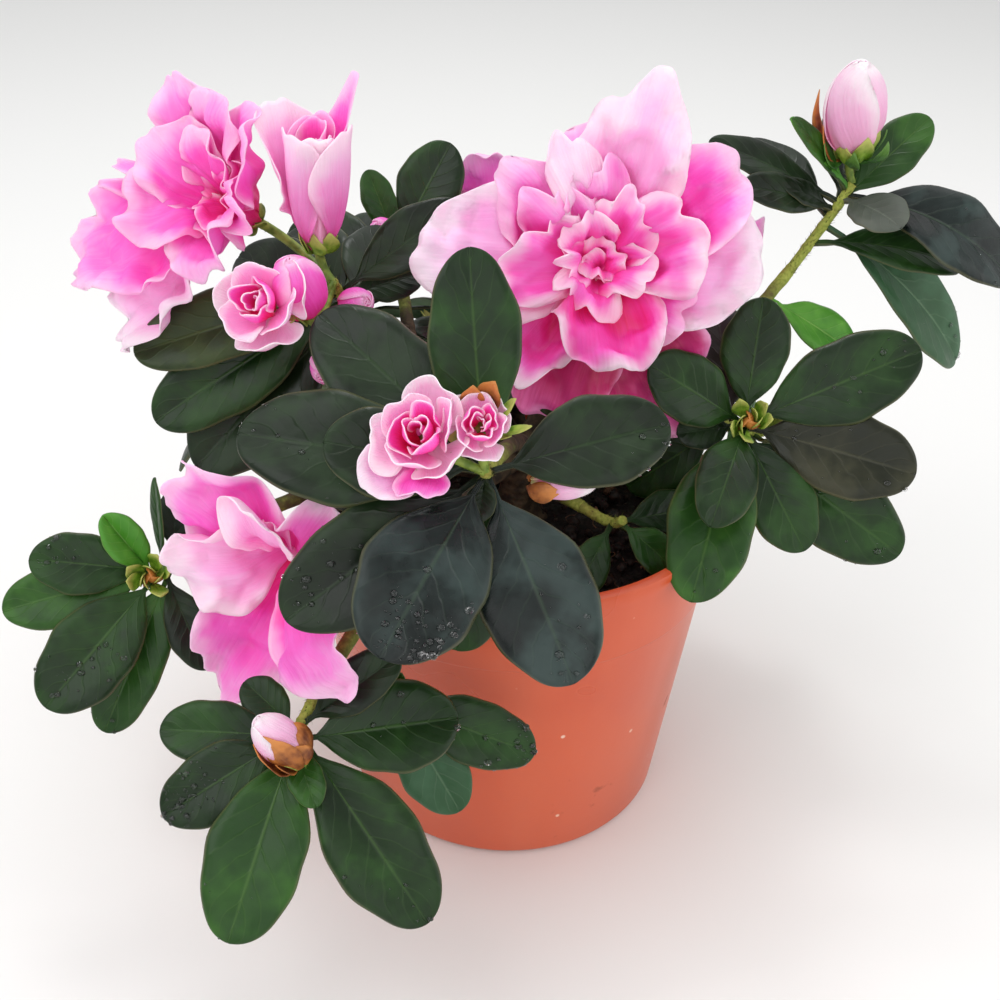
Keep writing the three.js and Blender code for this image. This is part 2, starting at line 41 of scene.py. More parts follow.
# Studio: the pot stands on a wide pale sheet in a white room, under soft lamps. The camera looks down on
# the plant from the photo's angle and is turned a little to one side, as the photo was taken by hand.
EYE = (-3.274, -239.577, 225.735)
LOOKING_DOWN = 0.573
TURNED = -0.039
LENS = 46.8


def deselect():
    if bpy.context.object and bpy.context.object.mode == "EDIT":
        bpy.ops.object.mode_set(mode="OBJECT")
    bpy.ops.object.select_all(action="DESELECT")


def colour(code):
    """A shader's linear colour from a hex code such as "c9603f"."""
    parts = [int(code[i : i + 2], 16) / 255 for i in (0, 2, 4)]
    linear = [c / 12.92 if c <= 0.04045 else ((c + 0.055) / 1.055) ** 2.4 for c in parts]
    return (*linear, 1.0)


class Tap:
    """A value in a material. Arithmetic on it adds Math nodes."""

    def __init__(self, finish, socket):
        self.finish = finish
        self.socket = socket

    def math(self, operation, *values):
        inputs = dict(enumerate(values))
        return self.finish.node("ShaderNodeMath", {"operation": operation}, inputs)

    def __add__(self, other):
        return self.math("ADD", self, other)

    def __sub__(self, other):
        return self.math("SUBTRACT", self, other)

    def __rsub__(self, other):
        return self.math("SUBTRACT", other, self)

    def __mul__(self, other):
        return self.math("MULTIPLY", self, other)

    def __pow__(self, other):
        return self.math("POWER", self, other)

    __radd__ = __add__
    __rmul__ = __mul__

    def absolute(self):
        return self.math("ABSOLUTE", self)

    def zigzag(self, size):
        return self.math("PINGPONG", self, size)

    def between(self, low, high, start=0.0, end=1.0):
        settings = {"interpolation_type": "SMOOTHSTEP"}
        inputs = {0: self, 1: low, 2: high, 3: start, 4: end}
        return self.finish.node("ShaderNodeMapRange", settings, inputs)


class Finish:
    """A material while it is made up. shader holds values for the Principled shader's own sockets."""

    def __init__(self, name, **shader):
        self.material = bpy.data.materials.new(name)
        self.material.use_nodes = True
        self.tree = self.material.node_tree
        self.shader = self.tree.nodes["Principled BSDF"]
        self.fill(self.shader, {name.replace("_", " "): value for name, value in shader.items()})

    def fill(self, node, inputs):
        for name, value in inputs.items():
            if isinstance(value, Tap):
                self.tree.links.new(value.socket, node.inputs[name])
            else:
                node.inputs[name].default_value = value

    def node(self, kind, settings=None, inputs=None, output=0):
        made = self.tree.nodes.new(kind)
        for name, value in (settings or {}).items():
            if name == "stops":
                for stop, (place, tint) in zip(self.ramp_stops(made, len(value)), value):
                    stop.position = place
                    stop.color = tint
            else:
                setattr(made, name, value)
        self.fill(made, inputs or {})
        return Tap(self, made.outputs[output])

    def ramp_stops(self, made, count):
        stops = made.color_ramp.elements
        while len(stops) < count:
            stops.new(0.5)
        return stops

    def blend(self, factor, first, second):
        inputs = {0: factor, 6: first, 7: second}
        return self.node("ShaderNodeMix", {"data_type": "RGBA"}, inputs, output=2)

    def place(self):
        return self.node("ShaderNodeTexCoord", output="Object")

    def apart(self, vector):
        """A vector's first two parts."""
        parts = self.node("ShaderNodeSeparateXYZ", None, {0: vector})
        return parts, Tap(self, parts.socket.node.outputs[1])

    def mottle(self, scale, detail=3.0, stretch=None, where=None):
        """Noise over the piece, from 0 to 1."""
        where = where or self.place()
        if stretch:
            where = self.node("ShaderNodeMapping", None, {"Vector": where, "Scale": stretch})
        inputs = {"Vector": where, "Scale": scale, "Detail": detail, "Roughness": 0.55}
        return self.node("ShaderNodeTexNoise", None, inputs)

    def grain(self, height, depth, strength=1.0):
        inputs = {"Height": height, "Distance": depth, "Strength": strength}
        return self.node("ShaderNodeBump", None, inputs)


def lamp(name, place, aim, size, power, tint="ffffff"):
    data = bpy.data.lights.new(name, "AREA")
    data.size = size
    data.energy = power
    data.color = colour(tint)[:3]
    made = bpy.data.objects.new(name, data)
    made.location = place
    made.rotation_euler = (Vector(aim) - Vector(place)).to_track_quat("-Z", "Y").to_euler()
    bpy.context.scene.collection.objects.link(made)


def set_studio():
    deselect()
    bpy.ops.mesh.primitive_plane_add(size=9, location=(0, 0, -0.0004))
    sheet = bpy.context.object
    sheet.name = "floor_sheet"
    paper = Finish("floor_paper", Base_Color=colour("f0efed"), Roughness=0.75)
    sheet.data.materials.append(paper.material)
    room = bpy.data.worlds.new("white_room")
    room.use_nodes = True
    room.node_tree.nodes["Background"].inputs["Color"].default_value = (0.98, 0.99, 1.0, 1)
    room.node_tree.nodes["Background"].inputs["Strength"].default_value = 0.66
    bpy.context.scene.world = room
    middle = (0, 0, 0.09)
    lamp("window", (-0.42, -0.3, 0.62), middle, 0.6, 2.0, "fdfeff")
    lamp("skylight", (-0.1, 0.32, 0.75), middle, 0.16, 1.0, "fdfeff")
    lamp("ceiling", (0.12, 0.3, 0.85), middle, 0.9, 1.7)
    lamp("front_fill", (0.12, -0.8, 0.42), middle, 0.8, 1.7)
    lamp("side_fill", (0.7, -0.15, 0.3), middle, 0.6, 1.1)
    bpy.context.scene.view_settings.view_transform = "Standard"
    bpy.context.scene.view_settings.look = "None"


def set_camera():
    forward = Vector((0, math.cos(LOOKING_DOWN), -math.sin(LOOKING_DOWN)))
    above = Vector((0, math.sin(LOOKING_DOWN), math.cos(LOOKING_DOWN)))
    beside = Vector((1, 0, 0))
    right = beside * math.cos(TURNED) - above * math.sin(TURNED)
    up = beside * math.sin(TURNED) + above * math.cos(TURNED)
    data = bpy.data.cameras.new("camera")
    data.lens = LENS
    data.clip_start = 0.01
    camera = bpy.data.objects.new("camera", data)
    bpy.context.scene.collection.objects.link(camera)
    turn = Matrix((right, up, -forward)).transposed().to_4x4()
    camera.matrix_world = Matrix.Translation(Vector(EYE) * MM) @ turn
    bpy.context.scene.camera = camera


set_studio()
set_camera()

# Pot: a moulded shell of thin terracotta-coloured plastic with a stepped collar, a rolled lip and six drain
# holes in its floor. It stands on its flat underside.
POT_HEIGHT = 76.5
RIM_RADIUS = 45.0
BASE_RADIUS = 36.5
COLLAR_HEIGHT = 17.2
COLLAR_STEP = 0.7
COLLAR_RADIUS = RIM_RADIUS - 1.5
LIP_WIDTH = 2.6
BODY_TOP_RADIUS = COLLAR_RADIUS - COLLAR_STEP
BODY_TOP = POT_HEIGHT - COLLAR_HEIGHT - COLLAR_STEP
WALL = 1.2
POT_FLOOR = 1.8
POT_SIDES = 160
DRAIN_HOLES = 6
DRAIN_RADIUS = 4.0
DRAIN_CIRCLE = 23.0


def keep(piece, slot, *nodes):
    """Fixes a finished piece to the plant's one body, and hides the nodes it replaces. slot is not used."""
    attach(piece, "root")
    if nodes:
        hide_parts(*nodes)


def settle(piece, angle=None):
    """Puts a piece's place into its mesh and smooths its faces, all over or up to an angle."""
    deselect()
    piece.select_set(True)
    bpy.context.view_layer.objects.active = piece
    bpy.ops.object.transform_apply(location=True, rotation=True, scale=True)
    if angle is None:
        bpy.ops.object.shade_smooth()
    else:
        bpy.ops.object.shade_smooth_by_angle(angle=math.radians(angle))


def apply_modifier(piece, kind, **settings):
    deselect()
    piece.select_set(True)
    bpy.context.view_layer.objects.active = piece
    modifier = piece.modifiers.new(kind.lower(), kind)
    for name, value in settings.items():
        setattr(modifier, name, value)
    bpy.ops.object.modifier_apply(modifier=modifier.name)


def pull_profile(stations, sides):
    """Draws a disc up and down through stations of (radius, height), as a closed wall."""
    deselect()
    radius, height = stations[0]
    bpy.ops.mesh.primitive_circle_add(
        vertices=sides, radius=radius * MM, fill_type="NGON", location=(0, 0, height * MM)
    )
    piece = bpy.context.object
    bpy.ops.object.mode_set(mode="EDIT")
    bpy.ops.mesh.select_all(action="SELECT")
    for next_radius, next_height in stations[1:]:
        rise = {"value": (0, 0, (next_height - height) * MM)}
        bpy.ops.mesh.extrude_region_move(TRANSFORM_OT_translate=rise)
        scale = next_radius / radius
        bpy.ops.transform.resize(value=(scale, scale, 1))
        radius, height = next_radius, next_height
    bpy.ops.mesh.select_all(action="SELECT")
    bpy.ops.mesh.normals_make_consistent(inside=False)
    bpy.ops.object.mode_set(mode="OBJECT")
    return piece


def drill_drains(shell):
    for hole in range(DRAIN_HOLES):
        turn = math.tau * hole / DRAIN_HOLES
        place = (DRAIN_CIRCLE * math.cos(turn) * MM, DRAIN_CIRCLE * math.sin(turn) * MM, 0)
        deselect()
        bpy.ops.mesh.primitive_cylinder_add(
            vertices=32, radius=DRAIN_RADIUS * MM, depth=POT_FLOOR * 4 * MM, location=place
        )
        drill = bpy.context.object
        apply_modifier(shell, "BOOLEAN", object=drill, operation="DIFFERENCE", solver="EXACT")
        bpy.data.objects.remove(drill)


def pot_plastic():
    plastic = Finish("pot_plastic", IOR=1.5, Coat_Weight=0.06, Coat_Roughness=0.25)
    broad = plastic.mottle(16.0, 3.0)
    drawn = plastic.mottle(55.0, 4.0, (1, 1, 0.12))
    tint = plastic.blend(broad.between(0.3, 0.7), colour("c54a22"), colour("d25a31"))
    tint = plastic.blend(drawn.between(0.45, 0.8, 0, 0.2), tint, colour("dd7d58"))
    specks = plastic.node(
        "ShaderNodeTexVoronoi", {"feature": "F1"}, {"Vector": plastic.place(), "Scale": 95.0}
    )
    dust = plastic.mottle(30.0, 2.0).between(0.55, 0.62) * specks.between(0.06, 0.03)
    tint = plastic.blend(dust * 0.85, tint, colour("f0cdb8"))
    soil = plastic.mottle(140.0, 4.0).between(0.62, 0.74) * plastic.mottle(25.0).between(0.5, 0.6)
    tint = plastic.blend(soil * 0.45, tint, colour("5a3526"))
    rough = broad.between(0.25, 0.75, 0.24, 0.36) + dust * 0.3 + soil * 0.2
    height = drawn * 0.6 + plastic.mottle(700.0, 2.0) * 0.25 - dust * 0.4
    grain = plastic.grain(height, 0.00012, 0.35)
    plastic.fill(plastic.shader, {"Base Color": tint, "Roughness": rough, "Normal": grain})
    return plastic.material


def build_pot():
    lip = POT_HEIGHT
    stations = [
        (BASE_RADIUS - 1.5, 0),
        (BASE_RADIUS - 0.6, 0.3),
        (BASE_RADIUS, 1.3),
        (BODY_TOP_RADIUS - 0.1, BODY_TOP - 0.3),
        (BODY_TOP_RADIUS, BODY_TOP),
        (COLLAR_RADIUS - 0.1, BODY_TOP + COLLAR_STEP * 0.7),
        (COLLAR_RADIUS, BODY_TOP + COLLAR_STEP * 1.3),
        (RIM_RADIUS - 0.65, lip - 3.4),
        (RIM_RADIUS - 0.1, lip - 2.9),
        (RIM_RADIUS, lip - 1.1),
        (RIM_RADIUS - 0.35, lip - 0.3),
        (RIM_RADIUS - 1.0, lip),
        (RIM_RADIUS - LIP_WIDTH + 0.4, lip - 0.05),
        (RIM_RADIUS - LIP_WIDTH, lip - 0.5),
        (COLLAR_RADIUS - WALL - 0.2, BODY_TOP + COLLAR_STEP),
        (BODY_TOP_RADIUS - WALL, BODY_TOP),
        (BASE_RADIUS - WALL, POT_FLOOR + 1),
        (BASE_RADIUS - WALL - 1, POT_FLOOR),
    ]
    shell = pull_profile(stations, POT_SIDES)
    shell.name = "pot_shell"
    drill_drains(shell)
    settle(shell, 40)
    shell.data.materials.append(pot_plastic())
    keep(shell, "pot_plastic", "pot")


build_pot()

# Compost: dark moist peat that fills the pot to a finger's breadth below its lip, with crumbs and brown
# fibres lying on it.
COMPOST_TOP = POT_HEIGHT - 8.5
COMPOST_RADIUS = BODY_TOP_RADIUS - WALL - 0.5
PLUG_SIDES = 128
SURFACE_RINGS = 38
RING_WIDTH = 1.05
CRUMB_SHAPES = 6
CRUMBS = 620
FIBRES = 90


def chance(number):
    """A repeatable number from 0 to 1 for each number asked for, by the plant's own rule."""
    wave = math.sin(number * 12.9898 + 4.1414) * 43758.5453
    return wave - math.floor(wave)


def rough(point, size, seed=0.0):
    """Smooth noise at a point in millimetres, from about -1 to 1."""
    return noise.noise(Vector(point) / size + Vector((seed, seed * 1.7, -seed)))


class Heap:
    """Many small closed forms gathered into one mesh, each with its faces, blade map and finish."""

    def __init__(self):
        self.points = []
        self.faces = []
        self.maps = []
        self.looks = []
        self.values = []
        self.count = 0

    def add(self, points, faces, look=0, blade_map=None, value=0.0):
        points = np.asarray(points, float)
        self.points.append(points)
        self.faces.extend([[corner + self.count for corner in face] for face in faces])
        self.looks.extend(look if isinstance(look, list) else [look] * len(faces))
        self.maps.append(np.zeros((len(points), 2)) if blade_map is None else blade_map)
        self.values.append(np.broadcast_to(value, (len(points),)))
        self.count += len(points)

    def build(self, name, finishes):
        mesh = bpy.data.meshes.new(name)
        mesh.from_pydata((np.concatenate(self.points) * MM).tolist(), [], self.faces)
        for finish in finishes:
            mesh.materials.append(finish)
        mesh.polygons.foreach_set("material_index", self.looks)
        corners = np.zeros(len(mesh.loops), np.int32)
        mesh.loops.foreach_get("vertex_index", corners)
        layer = mesh.uv_layers.new(name="blade")
        layer.data.foreach_set("uv", np.concatenate(self.maps)[corners].ravel().astype(np.float32))
        values = mesh.attributes.new("age", "FLOAT", "POINT")
        values.data.foreach_set("value", np.concatenate(self.values).astype(np.float32))
        mesh.polygons.foreach_set("use_smooth", [True] * len(mesh.polygons))
        mesh.update()
        piece = bpy.data.objects.new(name, mesh)
        bpy.context.scene.collection.objects.link(piece)
        return piece


def compost_height(x, y):
    dome = 1.5 * (1 - (math.hypot(x, y) / COMPOST_RADIUS) ** 2)
    lumps = rough((x, y, 0), 9, 3) * 1.1 + rough((x, y, 0), 3.2, 5) * 0.8 + rough((x, y, 0), 1.2, 8) * 0.5
    return COMPOST_TOP - 1.5 + dome + lumps


def compost_finish(name, dark, light, wet):
    peat = Finish(name, IOR=1.4)
    fine = peat.mottle(900.0, 4.0)
    tint = peat.blend(fine.between(0.35, 0.75), colour(dark), colour(light))
    shine = peat.mottle(260.0, 2.0).between(0.45, 0.65, 0.85, wet)
    grain = peat.grain(fine, 0.0006, 0.8)
    peat.fill(peat.shader, {"Base Color": tint, "Roughness": shine, "Normal": grain})
    return peat.material


def compost_plug():
    stations = [
        (BASE_RADIUS - WALL - 1.5, POT_FLOOR + 0.3),
        (COMPOST_RADIUS, BODY_TOP),
        (COMPOST_RADIUS, COMPOST_TOP - 2.5),
        (COMPOST_RADIUS - 0.5, COMPOST_TOP - 1.5),
    ]
    plug = pull_profile(stations, PLUG_SIDES)
    plug.name = "compost_plug"
    bpy.ops.object.mode_set(mode="EDIT")
    bpy.ops.mesh.select_mode(type="FACE")
    bpy.ops.mesh.select_all(action="DESELECT")
    bpy.ops.object.mode_set(mode="OBJECT")
    max(plug.data.polygons, key=lambda face: face.center.z).select = True
    bpy.ops.object.mode_set(mode="EDIT")
    for _ in range(SURFACE_RINGS):
        bpy.ops.mesh.inset(thickness=RING_WIDTH * MM, depth=0)
    bpy.ops.mesh.poke()
    bpy.ops.object.mode_set(mode="OBJECT")
    for corner in plug.data.vertices:
        x, y, z = corner.co / MM
        if z > COMPOST_TOP - 2:
            corner.co.z = compost_height(x, y) * MM
    settle(plug)
    plug.data.materials.append(compost_finish("compost_peat", "0b0706", "2a1a13", 0.4))
    keep(plug, "compost", "compost")


def lump(seed):
    """A slightly flat crumb, from a ball of one millimetre whose corners are pushed in and out."""
    deselect()
    bpy.ops.mesh.primitive_ico_sphere_add(subdivisions=2, radius=MM)
    ball = bpy.context.object
    corners = [Vector(corner.co / MM) for corner in ball.data.vertices]
    points = [corner * (1 + 0.42 * rough(corner, 0.6, seed)) for corner in corners]
    faces = [list(face.vertices) for face in ball.data.polygons]
    bpy.data.objects.remove(ball)
    return np.array(points) * (1, 1, 0.8), faces


def on_compost(seed, reach=COMPOST_RADIUS - 2):
    radius = reach * math.sqrt(chance(seed))
    turn = math.tau * chance(seed + 0.37)
    return radius * math.cos(turn), radius * math.sin(turn)


def spun(points, seed):
    turn = Matrix.Rotation(math.tau * chance(seed + 0.11), 3, "Z")
    tip = Matrix.Rotation(math.tau * chance(seed + 0.53), 3, "X")
    return points @ np.array(turn @ tip).T


def compost_litter():
    shapes = [lump(seed) for seed in range(CRUMB_SHAPES)]
    litter = Heap()
    for crumb in range(CRUMBS):
        points, faces = shapes[crumb % len(shapes)]
        x, y = on_compost(1000 + crumb * 1.3)
        size = 0.35 + 1.5 * chance(crumb * 2.1 + 7) ** 3
        look = 1 if chance(crumb * 3.3) > 0.93 else 0
        place = (x, y, compost_height(x, y) + size * 0.25)
        litter.add(spun(points, crumb) * size + place, faces, look)
    for strand in range(FIBRES):
        x, y = on_compost(3000 + strand * 1.7)
        heading = math.tau * chance(strand + 0.9)
        reach = 2.5 + 5 * chance(strand * 5.1)
        line = []
        for step in np.linspace(-0.5, 0.5, 6):
            bend = 1.2 * math.sin(step * 5 + strand)
            ahead = np.array((math.cos(heading), math.sin(heading)))
            across = np.array((-ahead[1], ahead[0]))
            at = np.array((x, y)) + ahead * step * reach + across * bend
            line.append((*at, compost_height(*at) + 0.25 + 0.5 * step * (chance(strand) - 0.3)))
        if max(math.hypot(at[0], at[1]) for at in line) < COMPOST_RADIUS - 0.5:
            rod = Rod([Vector(at) for at in line], 0.13, 0.08, 5, 4)
            litter.add(rod.points, rod.faces, 1)
    finishes = [
        compost_finish("compost_crumbs", "100a08", "3a241a", 0.35),
        compost_finish("compost_fibres", "4a3020", "8a6248", 0.6),
    ]
    keep(litter.build("compost_litter", finishes), "compost")


class Rod:
    """A closed round rod along a line of points, tapering from one radius to another."""

    def __init__(self, line, start, end, steps, sides, relief=None):
        places = resampled(line, steps)
        self.points = []
        self.shares = []
        normal = None
        for i, place in enumerate(places):
            ahead = (places[min(i + 1, steps)] - places[max(i - 1, 0)]).normalized()
            if normal is None:
                normal = ahead.orthogonal().normalized()
            normal = (normal - ahead * normal.dot(ahead)).normalized()
            across = ahead.cross(normal)
            share = i / steps
            for side in range(sides):
                turn = math.tau * side / sides
                radius = start + (end - start) * share
                if relief:
                    radius += relief(share, turn)
                offset = normal * math.cos(turn) + across * math.sin(turn)
                self.points.append(place + offset * radius)
                self.shares.append(share)
        self.faces = []
        for ring in range(0, steps * sides, sides):
            for a in range(sides):
                b = (a + 1) % sides
                self.faces.append([ring + a, ring + b, ring + sides + b, ring + sides + a])
        self.faces.append(list(range(sides))[::-1])
        self.faces.append([steps * sides + side for side in range(sides)])


def resampled(line, steps):
    """Evenly spaced points along a line of points."""
    lengths = [0.0]
    for a, b in zip(line, line[1:]):
        lengths.append(lengths[-1] + (b - a).length)
    found = []
    for i in range(steps + 1):
        want = lengths[-1] * i / steps
        k = max(j for j in range(len(line) - 1) if lengths[j] <= want + 1e-9)
        share = (want - lengths[k]) / max(lengths[k + 1] - lengths[k], 1e-9)
        found.append(line[k].lerp(line[k + 1], min(share, 1)))
    return found


compost_plug()
compost_litter()

# Trunk and boughs: a short leaning stub with a flared foot forks at once into thin boughs. The bark is
# brown, cracked and rough on the old wood, and green with fine ridges towards the leafy tips.
TRUNK_RADIUS = 4.2
TRUNK_FLARE = 2.6
TRUNK_FOOT = Vector((0, 0, COMPOST_TOP + 0.3))
TRUNK_TOP = Vector((1.5, -1, COMPOST_TOP + 19))
BOUGH_RADIUS = 2.1
TWIG_RADIUS = 1.15
STEM_LENGTH = 12
TURN_LENGTH = 9
PATH_STEPS = 48


# Each shoot springs from the trunk or another shoot, at a share of its length, and ends at its tip. bow
# moves the middle of its path, and face is how many degrees its whorl looks to the right and above level.
# stem and turn, where they are given, are the lengths of its leafy stem and of its last bend.
SHOOTS = {
    "front": {"from": ("trunk", 0.94), "tip": (-6, -50, 109), "bow": (0, 0, 6), "face": (0, 42)},
    "front_low": {"from": ("trunk", 0.78), "tip": (-39, -69, 62), "bow": (-4, -14, 24), "face": (10, 44)},
    "front_mid": {"from": ("front_low", 0.62), "tip": (-23, -56, 61), "bow": (2, -4, 2), "face": (6, 42)},
    "left_low": {"from": ("trunk", 0.5), "tip": (-73, -29, 68), "bow": (0, 0, 24), "face": (16, 38)},
    "left_top": {"from": ("trunk", 0.72), "tip": (-38, 0, 121), "bow": (0, 0, -8), "face": (4, 40)},
    "right": {"from": ("trunk", 0.62), "tip": (47.5, -3, 94.5), "bow": (0, 0, 6), "face": (-6, 38)},
    "right_top": {
        "from": ("right", 0.4),
        "tip": (72, 42, 131),
        "bow": (0, 0, -16),
        "stem": 24,
        "turn": 2,
        "face": (10, 56),
    },
    "back_left": {"from": ("left_top", 0.5), "tip": (-29, 37, 116), "bow": (0, 0, -4), "face": (0, 46)},
    "top": {"from": ("trunk", 0.99), "tip": (15, 18, 110), "bow": (0, 0, 0), "face": (0, 70)},
    "middle": {"from": ("trunk", 0.9), "tip": (-18, 36, 94), "bow": (0, 0, 0), "face": (-140, 62)},
    "left": {"from": ("left_low", 0.42), "tip": (-33, -28, 84), "bow": (0, 0, 4), "face": (-30, 60)},
    "low_right": {"from": ("trunk", 0.4), "tip": (22, -18, 79), "bow": (0, 0, 4), "face": (30, 50)},
    "back": {"from": ("trunk", 0.8), "tip": (-6, 58, 92), "bow": (0, 0, 4), "face": (172, 52)},
    "back_right": {"from": ("back", 0.4), "tip": (42, 50, 98), "bow": (0, 0, 2), "face": (140, 56)},
    "left_back": {"from": ("back_left", 0.35), "tip": (-62, 26, 94), "bow": (0, 0, 6), "face": (-112, 48)},
    "back_low": {"from": ("back", 0.55), "tip": (-34, 58, 70), "bow": (0, 0, 14), "face": (-150, 34)},
    "right_low": {"from": ("right", 0.45), "tip": (60, 34, 72), "bow": (0, 0, 18), "face": (100, 36)},
}


def facing(face):
    """The way a whorl or bloom looks, and the directions of twelve and three o'clock on it."""
    right, above = (math.radians(angle) for angle in face)
    axis = Vector((math.sin(right) * math.cos(above), -math.cos(right) * math.cos(above), math.sin(above)))
    twelve = (Vector((0, 0, 1)) - axis * axis.z).normalized()
    return axis, twelve, twelve.cross(axis)


def arc(points, steps=PATH_STEPS):
    """Evenly spaced points along a Bezier curve of three or four points."""
    order = len(points) - 1
    line = []
    for i in range(4 * steps + 1):
        t = i / (4 * steps)
        at = Vector((0, 0, 0))
        for k, control in enumerate(points):
            at += control * (math.comb(order, k) * t**k * (1 - t) ** (order - k))
        line.append(at)
    return resampled(line, steps)


def line_length(line):
    return sum((b - a).length for a, b in zip(line, line[1:]))


def along(line, share):
    place = min(max(share, 0), 1) * (len(line) - 1)
    k = min(int(place), len(line) - 2)
    return line[k].lerp(line[k + 1], place - k)


def stretch_of(line, start, end, steps):
    return [along(line, start + (end - start) * i / steps) for i in range(steps + 1)]


def plot_paths():
    paths = {"trunk": [TRUNK_FOOT.lerp(TRUNK_TOP, i / PATH_STEPS) for i in range(PATH_STEPS + 1)]}
    for name, shoot in SHOOTS.items():
        parent, share = shoot["from"]
        start = along(paths[parent], share)
        end = Vector(shoot["tip"])
        middle = start.lerp(end, 0.5) + Vector(shoot["bow"])
        before = end - facing(shoot["face"])[0] * shoot.get("turn", TURN_LENGTH)
        paths[name] = arc([start, middle, before, end])
    return paths


PATHS = plot_paths()


def stem_start(name):
    return 1 - SHOOTS[name].get("stem", STEM_LENGTH) / line_length(PATHS[name])


def bark_finish():
    bark = Finish("bark", Roughness=0.8, IOR=1.4)
    age = bark.node("ShaderNodeAttribute", {"attribute_name": "age"}, output="Fac")
    coarse = bark.mottle(420.0, 4.0)
    fine = bark.mottle(1600.0, 3.0)
    old = bark.blend(coarse.between(0.3, 0.7), colour("21170f"), colour("54432f"))
    young = bark.blend(fine.between(0.3, 0.7), colour("87943a"), colour("a9b052"))
    blush = bark.mottle(160.0, 2.0).between(0.5, 0.7)
    young = bark.blend(blush * 0.35, young, colour("8b5a35"))
    tint = bark.blend((age + (coarse - 0.5) * 0.5).between(0.35, 0.7), young, old)
    grain = bark.grain(coarse * 0.7 + fine * 0.3, 0.0004, 0.7)
    bark.fill(bark.shader, {"Base Color": tint, "Normal": grain})
    return bark.material


def bark_relief(depth, seed):
    """Lengthwise ridges and knots, in millimetres, by place along and round a limb."""

    def relief(share, turn):
        ridges = noise.noise(Vector((math.cos(turn) * 2.2, math.sin(turn) * 2.2, share * 6 + seed)))
        knots = noise.noise(Vector((math.cos(turn), math.sin(turn), share * 22 - seed)))
        return depth * (ridges * 0.9 + knots * 0.6)

    return relief


def trunk_relief(share, turn):
    lobes = TRUNK_RADIUS * 0.08 * math.cos(3 * turn + 0.7)
    bark = bark_relief(0.5, 4)(share, turn)
    return TRUNK_FLARE * math.exp(-share * 9) * (1 + 0.3 * math.sin(5 * turn)) + lobes + bark


def build_limbs():
    limbs = Heap()
    top_radius = TRUNK_RADIUS * 0.8
    trunk_rod = Rod(PATHS["trunk"], TRUNK_RADIUS, top_radius, 60, 40, trunk_relief)
    limbs.add(trunk_rod.points, trunk_rod.faces, value=1.0)
    nodes = ["trunk"]
    for order, name in enumerate(SHOOTS):
        thick = BOUGH_RADIUS if SHOOTS[name]["from"][0] == "trunk" else BOUGH_RADIUS * 0.8
        line = stretch_of(PATHS[name], 0, stem_start(name), 30)
        thin = TWIG_RADIUS * 1.15
        rod = Rod(line, thick, thin, 64, 16, bark_relief(0.22, order * 3.1))
        near = 0.35 + 0.65 * (1 - np.array(rod.shares)) ** 0.7
        limbs.add(rod.points, rod.faces, value=near)
        nodes.append(f"bough_{name}")
    keep(limbs.build("trunk_and_boughs", [bark_finish()]), "bark", *nodes)


build_limbs()

# Leafy stems: the green end of each shoot grows on from its bough, with the scars of fallen leaves as low
# collars, and short stiff brown bristles.
BRISTLES_PER_MM = 5
BRISTLE_LENGTH = 1.1
BRISTLE_HALF = 0.07


def add_bristles(heap, line, radius, count, seed, value=0.0, length=BRISTLE_LENGTH):
    """Short stiff hairs that lean forward along a stem."""
    for hair in range(count):
        share = chance(seed + hair * 1.31)
        foot = along(line, share)
        ahead = (along(line, min(share + 0.02, 1)) - along(line, max(share - 0.02, 0))).normalized()
        side = ahead.orthogonal().normalized()
        side.rotate(Matrix.Rotation(math.tau * chance(seed + hair * 2.17), 3, ahead))
        across = ahead.cross(side)
        reach = length * (0.6 + 0.7 * chance(seed + hair * 3.7))
        base = foot + side * (radius - 0.1)
        tip = base + (side * 0.75 + ahead * 0.75) * reach
        beside = across * BRISTLE_HALF
        corners = [base + beside, base - beside, base + ahead * BRISTLE_HALF * 2, tip]
        heap.add(corners, [[0, 2, 3], [2, 1, 3], [1, 0, 3], [0, 1, 2]], value=value)


def stem_relief(share, turn):
    collars = max(0.0, math.sin(share * 26)) ** 8
    return 0.16 * collars + 0.05 * math.sin(5 * turn + share * 9)


def build_stems():
    stems = Heap()
    for order, name in enumerate(SHOOTS):
        length = SHOOTS[name].get("stem", STEM_LENGTH)
        line = stretch_of(PATHS[name], stem_start(name) - 0.01, 1, 16)
        rod = Rod(line, TWIG_RADIUS, TWIG_RADIUS * 0.9, 40, 12, stem_relief)
        age = 0.45 - 0.4 * np.array(rod.shares)
        stems.add(rod.points, rod.faces, value=age)
        add_bristles(stems, line, TWIG_RADIUS, int(length * BRISTLES_PER_MM), order * 40, value=0.6)
    keep(stems.build("leafy_stems", [bark_finish()]), "bark")


build_stems()

# Leaves: leathery ovals on short stalks, dark, glossy and wet in places above, with a sunk midrib and side
# veins, and paler and dull beneath. A blade is a thin closed sheet that arches and ripples. Each whorl is
# one piece.
GOLDEN_ANGLE = 137.5
STALK_SHARE = 0.13
STALK_HALF = 0.7
BLADE_THICKNESS = 0.34
ACROSS = np.array([-1, -0.96, -0.86, -0.7, -0.5, -0.28, -0.1, 0, 0.1, 0.28, 0.5, 0.7, 0.86, 0.96, 1])
ALONG = 36


def leaf(clock, length, lift, down=2.0, wide=0.52, arch=18.0, twist=0.0, tone="dark", **more):
    """A leaf's plan: its direction on its whorl as on a clock face, in degrees, its length, its lift out of
    the whorl's plane, how far below the tip it is joined, its width as a share of its length, how far it
    bends over, its twist, its tone, and where it needs them, its fold, ripple and drops of water."""
    plan = {"clock": clock, "length": length, "lift": lift, "down": down, "wide": wide, "arch": arch}
    return {**plan, "twist": twist, "tone": tone, "fold": 0.3, "ripple": 0.7, "drops": 0, **more}


